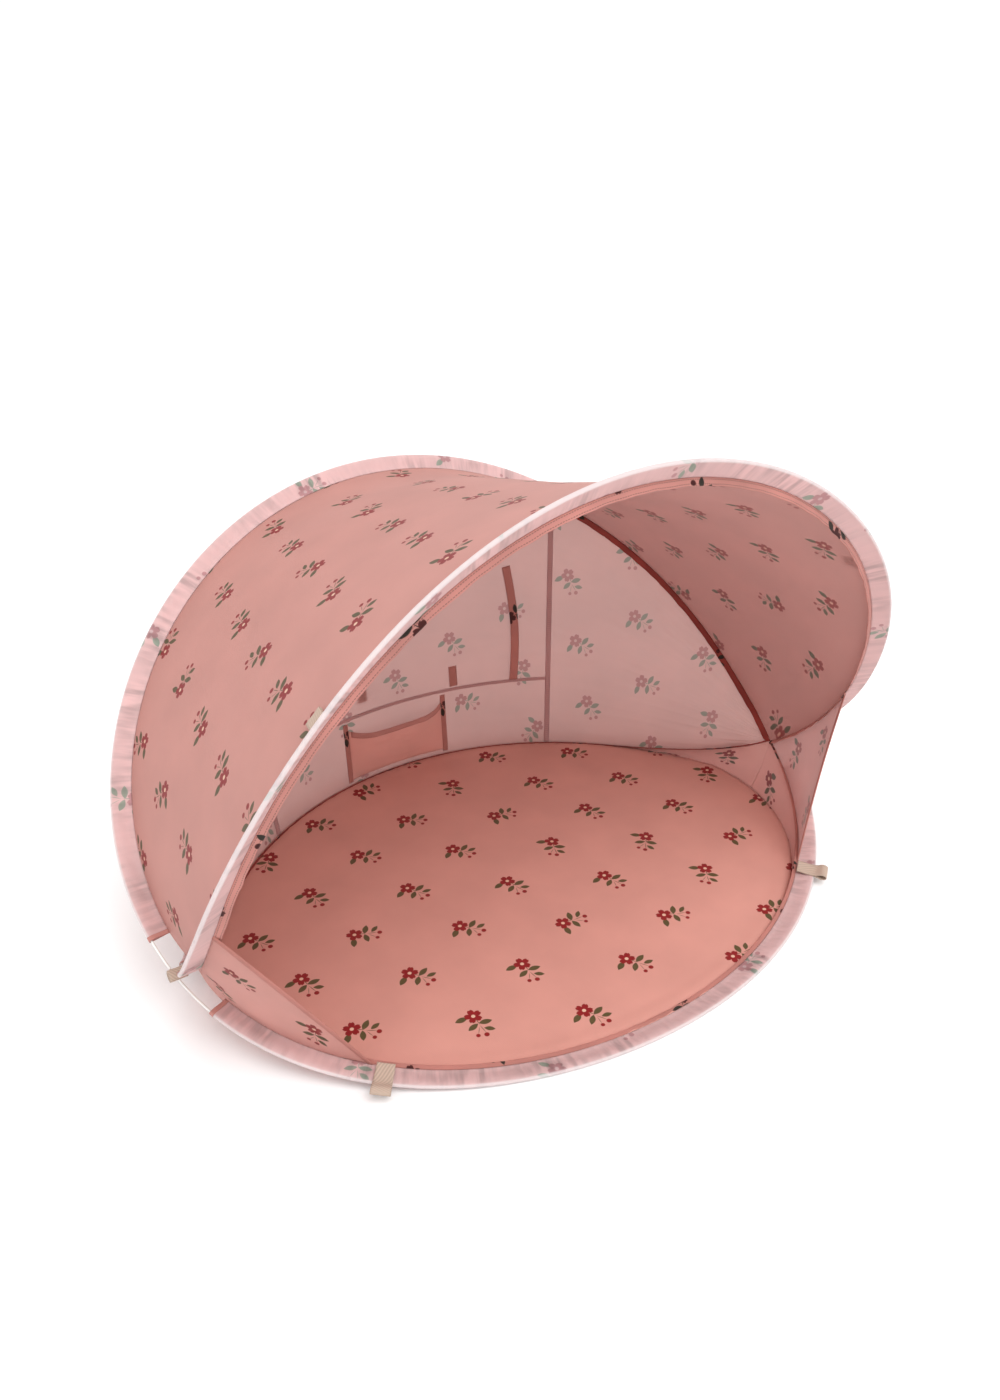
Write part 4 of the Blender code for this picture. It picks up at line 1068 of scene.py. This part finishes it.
def tapes_and_ties():
    """Overlocked seam tapes and the ribbons that hold the rolled flap."""
    for side_name, share in (("left", FLAP_SIDE_SHARE), ("right", 1 - FLAP_SIDE_SHARE)):
        piece = wall_strip(f"seam_tape_{side_name}_cloth", lambda a: (share, 0.006 + 0.988 * a),
                           TAPE_WIDTH, lambda a: 2.2 * MM, TAPE_CLOTH, TRIM_THICKNESS, 160, 51)
        settle(piece, None, "trim_cloth", f"seam_tape_{side_name}")
        wall_turn(piece)
    low = FLAP_SIDE_SHARE

    def level(a):
        share = low + (1 - 2 * low) * a
        return share, wall_rise(share, FLAP_HEIGHT)
    piece = wall_strip("seam_tape_lower_cloth", level, LOWER_TAPE_WIDTH, lambda a: 2.0 * MM, TAPE_CLOTH,
                       TRIM_THICKNESS, 200, 52)
    settle(piece, "rear_base", "trim_cloth", "seam_tape_lower")
    for name, (width, place, bow, top, end, hang, face) in TIES.items():
        def path(a):
            height = top + (end - top) * a
            share = wall_share(place + bow * math.sin(math.pi * a), height)
            return share, wall_rise(share, height)
        piece = wall_strip(f"{name}_ribbon", path, width,
                           lambda a: face * (2.6 * MM + hang * a), RIBBON_CLOTH,
                           TRIM_THICKNESS, 60, 53)
        settle(piece, None, "trim_cloth", name)
        wall_turn(piece)


def pocket_point(across, rise, extra=0.0):
    """Point of the pocket's cloth: it stands off the wall and sags open at the top."""
    bulge = 1 - (2 * across - 1) ** 4
    place = POCKET_MIDDLE + (2 * across - 1) * POCKET_HALF_WIDTH
    top = POCKET_TOP - POCKET_SAG * bulge
    height = POCKET_BOTTOM + (top - POCKET_BOTTOM) * rise
    lift = 0.9 * MM + POCKET_DEPTH * bulge * math.sqrt(max(rise, 0.0)) + extra
    share = wall_share(place, height)
    return wall_point(share, wall_rise(share, height), lift)


def pocket():
    """Pocket bag, its top hem and the bindings at its sides."""
    width = POCKET_HALF_WIDTH * 2
    height = POCKET_TOP - POCKET_BOTTOM

    def place(a, b):
        crease = 1.6 * MM * ripple(a * 9, b * 3, 61) * math.sin(math.pi * a) * (0.3 + b)
        crease += 0.8 * MM * ripple(a * 5 + b * 4, b * 11, 62) * math.sin(math.pi * a)
        return pocket_point(a, b, crease)

    facing = wall_point(0.5, 0.3, 1.0) - wall_point(0.5, 0.3)
    piece = sheet("pocket_bag", 70, 34, place, lambda a, b: (a * width, b * height), [POCKET_CLOTH], facing)
    settle(piece, "rear_base", "pocket_cloth", "pocket")
    path_length(lambda a: place(a, 1.0))
    path_length(lambda b: place(0.5, b))

    def hem_place(a, b):
        a = 0.02 + 0.96 * a
        rise = 1 - POCKET_HEM / height * (1 - b)
        return place(a, rise) + (wall_point(0.5, 0.3, 0.8 * MM) - wall_point(0.5, 0.3))
    piece = sheet("pocket_top_hem", 70, 5, hem_place, lambda a, b: (a * width, b * POCKET_HEM), [HEM_CLOTH],
                  facing, 0.8 * MM)
    settle(piece, "rear_base", "trim_cloth", "pocket_hem")
    for side_name, side in SIDES.items():
        def path(a):
            foot = POCKET_BOTTOM - BINDING_OVERHANG
            height = foot + (BINDING_TOP - foot) * a
            share = wall_share(POCKET_MIDDLE + side * (POCKET_HALF_WIDTH + BINDING_OVERHANG), height)
            return share, wall_rise(share, height)
        piece = wall_strip(f"pocket_binding_{side_name}_cloth", path, TAPE_WIDTH, lambda a: 1.6 * MM,
                           RIBBON_CLOTH, 0.9 * MM, 40, 63)
        settle(piece, "rear_base", "trim_cloth", f"pocket_binding_{side_name}")


# Floor and side panels


SEAM_ENDS = {hoop: crossing_phi(hoop, SLEEVE_WIDTH) for hoop in (BACK, FRONT)}


def phi_of_x(hoop, x):
    """Angle on the right at which the ground seam passes the place x."""
    return bisect(lambda value: hoop.point(value, SLEEVE_WIDTH).x - abs(x), -math.pi * 2 / 3, SEAM_ENDS[hoop])


def seam_y(hoop, x):
    """Where the ground seam lies over the place x."""
    return hoop.point(phi_of_x(hoop, x), SLEEVE_WIDTH).y


FLOOR_HALF_WIDTH = FRONT.point(SEAM_ENDS[FRONT], SLEEVE_WIDTH).x - FLOOR_SIDE_INSET
FLOOR_FRONT = seam_y(BACK, 0.0)
FLOOR_REAR = seam_y(FRONT, 0.0)
FLOOR_MIDDLE = Vector((0, (FLOOR_FRONT + FLOOR_REAR) / 2, 0))


def floor_edge(angle):
    """Point on the floor's oval outline, held inside both ground seams."""
    depth = (FLOOR_REAR - FLOOR_FRONT) / 2
    x = FLOOR_HALF_WIDTH * math.cos(angle)
    y = FLOOR_MIDDLE.y + depth * math.sin(angle)
    y = max(y, seam_y(BACK, x))
    y = min(y, seam_y(FRONT, x))
    return Vector((x, y, 0))


def floor_turn(piece):
    """Placement of a floor or side piece, baked into its mesh."""
    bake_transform(piece)


def floor():
    """Printed floor: an oval laid flat, puckered at its seam."""
    edges = [floor_edge(2 * math.pi * i / 720) for i in range(721)]

    def place(a, b):
        angle = a * 2 * math.pi
        rim = interpolated(edges, a)
        reach = (rim - FLOOR_MIDDLE).length
        spot = FLOOR_MIDDLE + (rim - FLOOR_MIDDLE) * b
        edge = reach * (1 - b)
        puff = 0.7 + ripple(math.cos(angle) * 60, math.sin(angle) * 60, 71)
        pucker = 1.1 * MM * math.exp(-edge / (13 * MM)) * puff
        swell = 1.2 * MM * (0.8 + ripple(spot.x * 5, spot.y * 5, 72)) * min(edge / (50 * MM), 1.0)
        roll = 1.6 * MM * math.exp(-((edge - 16 * MM) / (12 * MM)) ** 2)
        return Vector((spot.x, spot.y, 0.8 * MM + max(pucker, 0.0) + swell + roll))

    piece = sheet("floor_cloth", 480, 70, place, lambda a, b: place(a, b).xy, [FLOOR_FACE, FLOOR_BACK],
                  Vector((0, 0, 1)), closed=True)
    settle(piece, None, "floor_cloth", "floor_front", "floor_rear")
    floor_turn(piece)


def side_panels():
    """Gussets from the floor's edge up to the ground seams, at both sides of each crossing."""
    for front in (True, False):
        hoop = BACK if front else FRONT
        sign = -1 if front else 1
        fold = bisect(lambda angle: floor_edge(angle).y - AXIS_Y, -math.pi / 4, math.pi / 4)
        far = fold
        while (hoop.point(phi_of_x(hoop, floor_edge(far).x), SLEEVE_WIDTH) - floor_edge(far)).length > 4 * MM:
            far += sign * math.radians(0.5)
        start = phi_of_x(hoop, floor_edge(far).x)
        end = SEAM_ENDS[hoop]
        for side_name, side in SIDES.items():
            def place(a, b):
                low = floor_edge(far + (fold - far) * a) + Vector((0, 0, 1.2 * MM))
                high = hoop.point(start + (end - start) * a, SLEEVE_WIDTH, SEAM_LEVEL)
                high = high.lerp(CORNER, rounded(1 - (1 - a) / CORNER_PULL_SHARE))
                point = low + (high - low) * b
                slack = math.sin(math.pi * b) * (high - low).length
                point += Vector((0.6, 0, -0.8)) * (0.05 * slack)
                point += Vector((0.7, 0, 0.7)) * (0.02 * slack * ripple(a * 16, b * 2, 81))
                return mirrored(point, side)
            length = (floor_edge(far) - floor_edge(fold)).length
            name = f"gusset_{'front' if front else 'rear'}_{side_name}"
            facing = Vector((-side, 0, 1))
            piece = sheet(f"{name}_cloth", 90, 20, place,
                          lambda a, b: (a * length, b * GUSSET_HEIGHT), [SIDE_CLOTH], facing)
            settle(piece, None, "side_cloth", name)
            floor_turn(piece)
            tallest = max((place(i / 90, 1.0) - place(i / 90, 0.0)).length for i in range(91))


def wing_rows(share):
    """Foot and top of the wing at a share of the way out from the crossing."""
    near = rounded(1 - share / CORNER_PULL_SHARE)
    ends = []
    for hoop, last in ((BACK, WING_FOOT_ANGLE), (FRONT, WING_TOP_ANGLE)):
        phi = SEAM_ENDS[hoop] + (last - SEAM_ENDS[hoop]) * share
        ends.append(hoop.point(phi, SLEEVE_WIDTH, SEAM_LEVEL).lerp(CORNER, near))
    return ends


def wing_hollow(rise):
    """How far the wing's taut free edge bows inwards, at a share of the way up."""
    return Vector((0.3, 0.9, 0.3)) * (WING_HOLLOW * math.sin(math.pi * rise))


def wings():
    """Sheer side wings with a taut hem along the free edge."""
    for side_name, side in SIDES.items():
        def place(a, b):
            share = WING_START_SHARE + (1 - WING_START_SHARE) * a
            foot, top = wing_rows(share)
            point = foot + (top - foot) * b
            slack = math.sin(math.pi * b) * (1 - a) ** 0.3 * a
            point += Vector((1, -0.4, 0)) * (6 * MM * slack * ripple(a * 5 + b, b * 3, 91))
            return mirrored(point + wing_hollow(b) * a ** 3, side)

        foot, top = wing_rows(1.0)
        height = (top - foot).length
        reach = (foot - wing_rows(0.0)[0]).length
        piece = sheet(f"wing_{side_name}_cloth", 70, 60, place,
                      lambda a, b: (a * reach, (b - 0.5) * height * a),
                      [SIDE_CLOTH, SIDE_BACK], Vector((side, 0, 0.2)))
        settle(piece, "front_arch", "side_cloth", f"wing_{side_name}")
        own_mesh(piece)

        def hem_place(a, b):
            foot, top = wing_rows(1.0)
            inner_foot, inner_top = wing_rows(0.96)
            point = foot + (top - foot) * b
            inner = inner_foot + (inner_top - inner_foot) * b
            out = (point - inner).normalized()
            point += wing_hollow(b)
            turn = math.pi * 2 * a
            flat = Vector((1, -0.4, 0)).normalized()
            point += out * (HEM_WIDTH / 2 * math.cos(turn)) + flat * (1.4 * MM * math.sin(turn))
            return mirrored(point, side)
        piece = sheet(f"wing_hem_{side_name}_cloth", 24, 80, hem_place,
                      lambda a, b: (a * HEM_WIDTH * 2, b * height), [RIBBON_CLOTH],
                      Vector((side, -0.3, 0)), closed=True)
        settle(piece, "front_arch", "trim_cloth", f"wing_hem_{side_name}")
        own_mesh(piece)


# Webbing loops


def smooth_path(points, share):
    """Point on a smooth curve through a list of pairs."""
    i, t = step_at(points, share)
    before = points[max(i - 1, 0)]
    after = points[min(i + 2, len(points) - 1)]
    result = []
    for k in range(2):
        a, b, c, d = before[k], points[i][k], points[i + 1][k], after[k]
        result.append(0.5 * (2 * b + (c - a) * t + (2 * a - 5 * b + 4 * c - d) * t * t
                             + (3 * b - a - 3 * c + d) * t ** 3))
    return result


def loops():
    """Webbing loops: for pegs at the front edge, for guy lines on the front arch."""
    lower = SLEEVE_RADIUS + CLOTH / 2 + GAP + WEBBING_THICKNESS / 2
    upper = lower + WEBBING_THICKNESS + GAP
    peg_path = [(SLEEVE_WIDTH, lower), (0.0, lower)]
    peg_path += [(-PEG_LOOP_REACH * out, lower + PEG_LOOP_EYE * rise) for out, rise in PEG_LOOP_SHARES]
    peg_path += [(0.0, upper), (SLEEVE_WIDTH, upper)]
    turn = WEBBING_WIDTH / 2 / BACK.half_length
    arch_lower = CLOTH / 2 + GAP + WEBBING_THICKNESS / 2
    arch_path = [(ARCH_LOOP_START, arch_lower)]
    arch_path += [(ARCH_LOOP_LENGTH * out, arch_lower + ARCH_LOOP_EYE * rise)
                  for out, rise in ARCH_LOOP_SHARES]
    arch_path.append((ARCH_LOOP_START, arch_lower + WEBBING_THICKNESS + GAP))
    for side_name, side in SIDES.items():
        def peg_place(a, b):
            inset, lift = smooth_path(peg_path, b)
            return mirrored(BACK.point(PEG_LOOP_ANGLE + turn * (2 * a - 1), inset, lift), side)
        piece = sheet(f"peg_webbing_{side_name}", 8, 90, peg_place,
                      lambda a, b: (a * WEBBING_WIDTH, b * PEG_WEBBING_LENGTH), [WEBBING],
                      Vector((0, 0, -1)), WEBBING_THICKNESS)
        settle(piece, f"peg_loop_{side_name}", "webbing", f"peg_loop_{side_name}")
        base = FRONT.point(ARCH_LOOP_ANGLE, SLEEVE_WIDTH, SEAM_LEVEL)
        share = bisect(lambda value: FRONT_ARCH.seam_point(value).x - base.x, 0.5, 0.85)
        step = math.radians(1)
        along = (FRONT.point(ARCH_LOOP_ANGLE + step, SLEEVE_WIDTH)
                 - FRONT.point(ARCH_LOOP_ANGLE - step, SLEEVE_WIDTH)).normalized()
        back = canopy_point(share, 0.95) - canopy_point(share, 1)
        back = (back - along * back.dot(along)).normalized()
        out = along.cross(back).normalized()
        if out.x < 0:
            out.negate()

        def arch_place(a, b):
            reach, lift = smooth_path(arch_path, b)
            return mirrored(base + along * (WEBBING_WIDTH * (a - 0.5)) + back * reach + out * lift, side)
        piece = sheet(f"guy_webbing_{side_name}", 8, 70, arch_place,
                      lambda a, b: (a * WEBBING_WIDTH, b * ARCH_WEBBING_LENGTH), [WEBBING],
                      mirrored(-out, side), WEBBING_THICKNESS)
        settle(piece, f"arch_loop_{side_name}", "webbing", f"arch_loop_{side_name}")


def ferrules():
    """The crimped tubes keep their shape and get bare steel."""
    material, node, shader = new_material("crimped_steel")
    grain = node("TexNoise", node("TexCoord").node.outputs["Object"], Scale=1 / STEEL_GRAIN)
    rough = node("MapRange", grain, To_Min=0.3, To_Max=0.5)
    feed(shader, Base_Color=linear("#A9ABAE"), Metallic=1.0, Roughness=rough)
    for name in ("rear_ferrule", "front_ferrule"):
        obj = bpy.data.objects[name]
        obj.data.materials.clear()
        obj.data.materials.append(material)


# Stage, lights and camera

PAPER_SIZE = 120.0
SKY_STRENGTH = 1.05
LAMP_PLACE = (0.2, -1.9, 3.8)
LAMP_STRENGTH = 1.45
LAMP_SPREAD = math.radians(50)
CAMERA_PLACE = (-0.8384, -1.2432, 1.1496)
CAMERA_AZIMUTH = 0.5832
CAMERA_FALL = 0.5032
CAMERA_LENS = 28.21


def stage():
    """White paper floor without an edge in sight, bright even light and one soft lamp."""
    bpy.ops.object.select_all(action="DESELECT")
    bpy.ops.mesh.primitive_plane_add(size=PAPER_SIZE)
    ground = bpy.context.object
    ground.name = "studio_floor"
    material, _, shader = new_material("white_paper")
    feed(shader, Base_Color=(0.95, 0.95, 0.95, 1.0), Roughness=0.9, Specular_IOR_Level=0.0)
    ground.data.materials.append(material)
    world = bpy.data.worlds.new("studio")
    bpy.context.scene.world = world
    world.use_nodes = True
    feed(world.node_tree.nodes["Background"], Color=WHITE, Strength=SKY_STRENGTH)
    bpy.ops.object.light_add(type="SUN", location=LAMP_PLACE)
    lamp = bpy.context.object
    lamp.name = "soft_lamp"
    lamp.data.energy = LAMP_STRENGTH
    lamp.data.angle = LAMP_SPREAD
    lamp.rotation_euler = (-Vector(LAMP_PLACE)).to_track_quat("-Z", "Y").to_euler()


def camera():
    """The photograph's view, from the front left and above."""
    bpy.ops.object.camera_add(location=CAMERA_PLACE)
    eye = bpy.context.object
    eye.name = "photo_view"
    level = math.cos(CAMERA_FALL)
    direction = Vector((math.sin(CAMERA_AZIMUTH) * level, math.cos(CAMERA_AZIMUTH) * level,
                        -math.sin(CAMERA_FALL)))
    eye.rotation_euler = direction.to_track_quat("-Z", "Y").to_euler()
    eye.data.sensor_fit = "VERTICAL"
    eye.data.sensor_height = 36.0
    eye.data.sensor_width = 36.0
    eye.data.lens = CAMERA_LENS
    bpy.context.scene.camera = eye
    bpy.context.scene.view_settings.view_transform = "Standard"


camera()
wires()
straps()
sleeves()
canopy()
seam_allowances()
back_wall()
tapes_and_ties()
pocket()
floor()
side_panels()
wings()
loops()
ferrules()
stage()
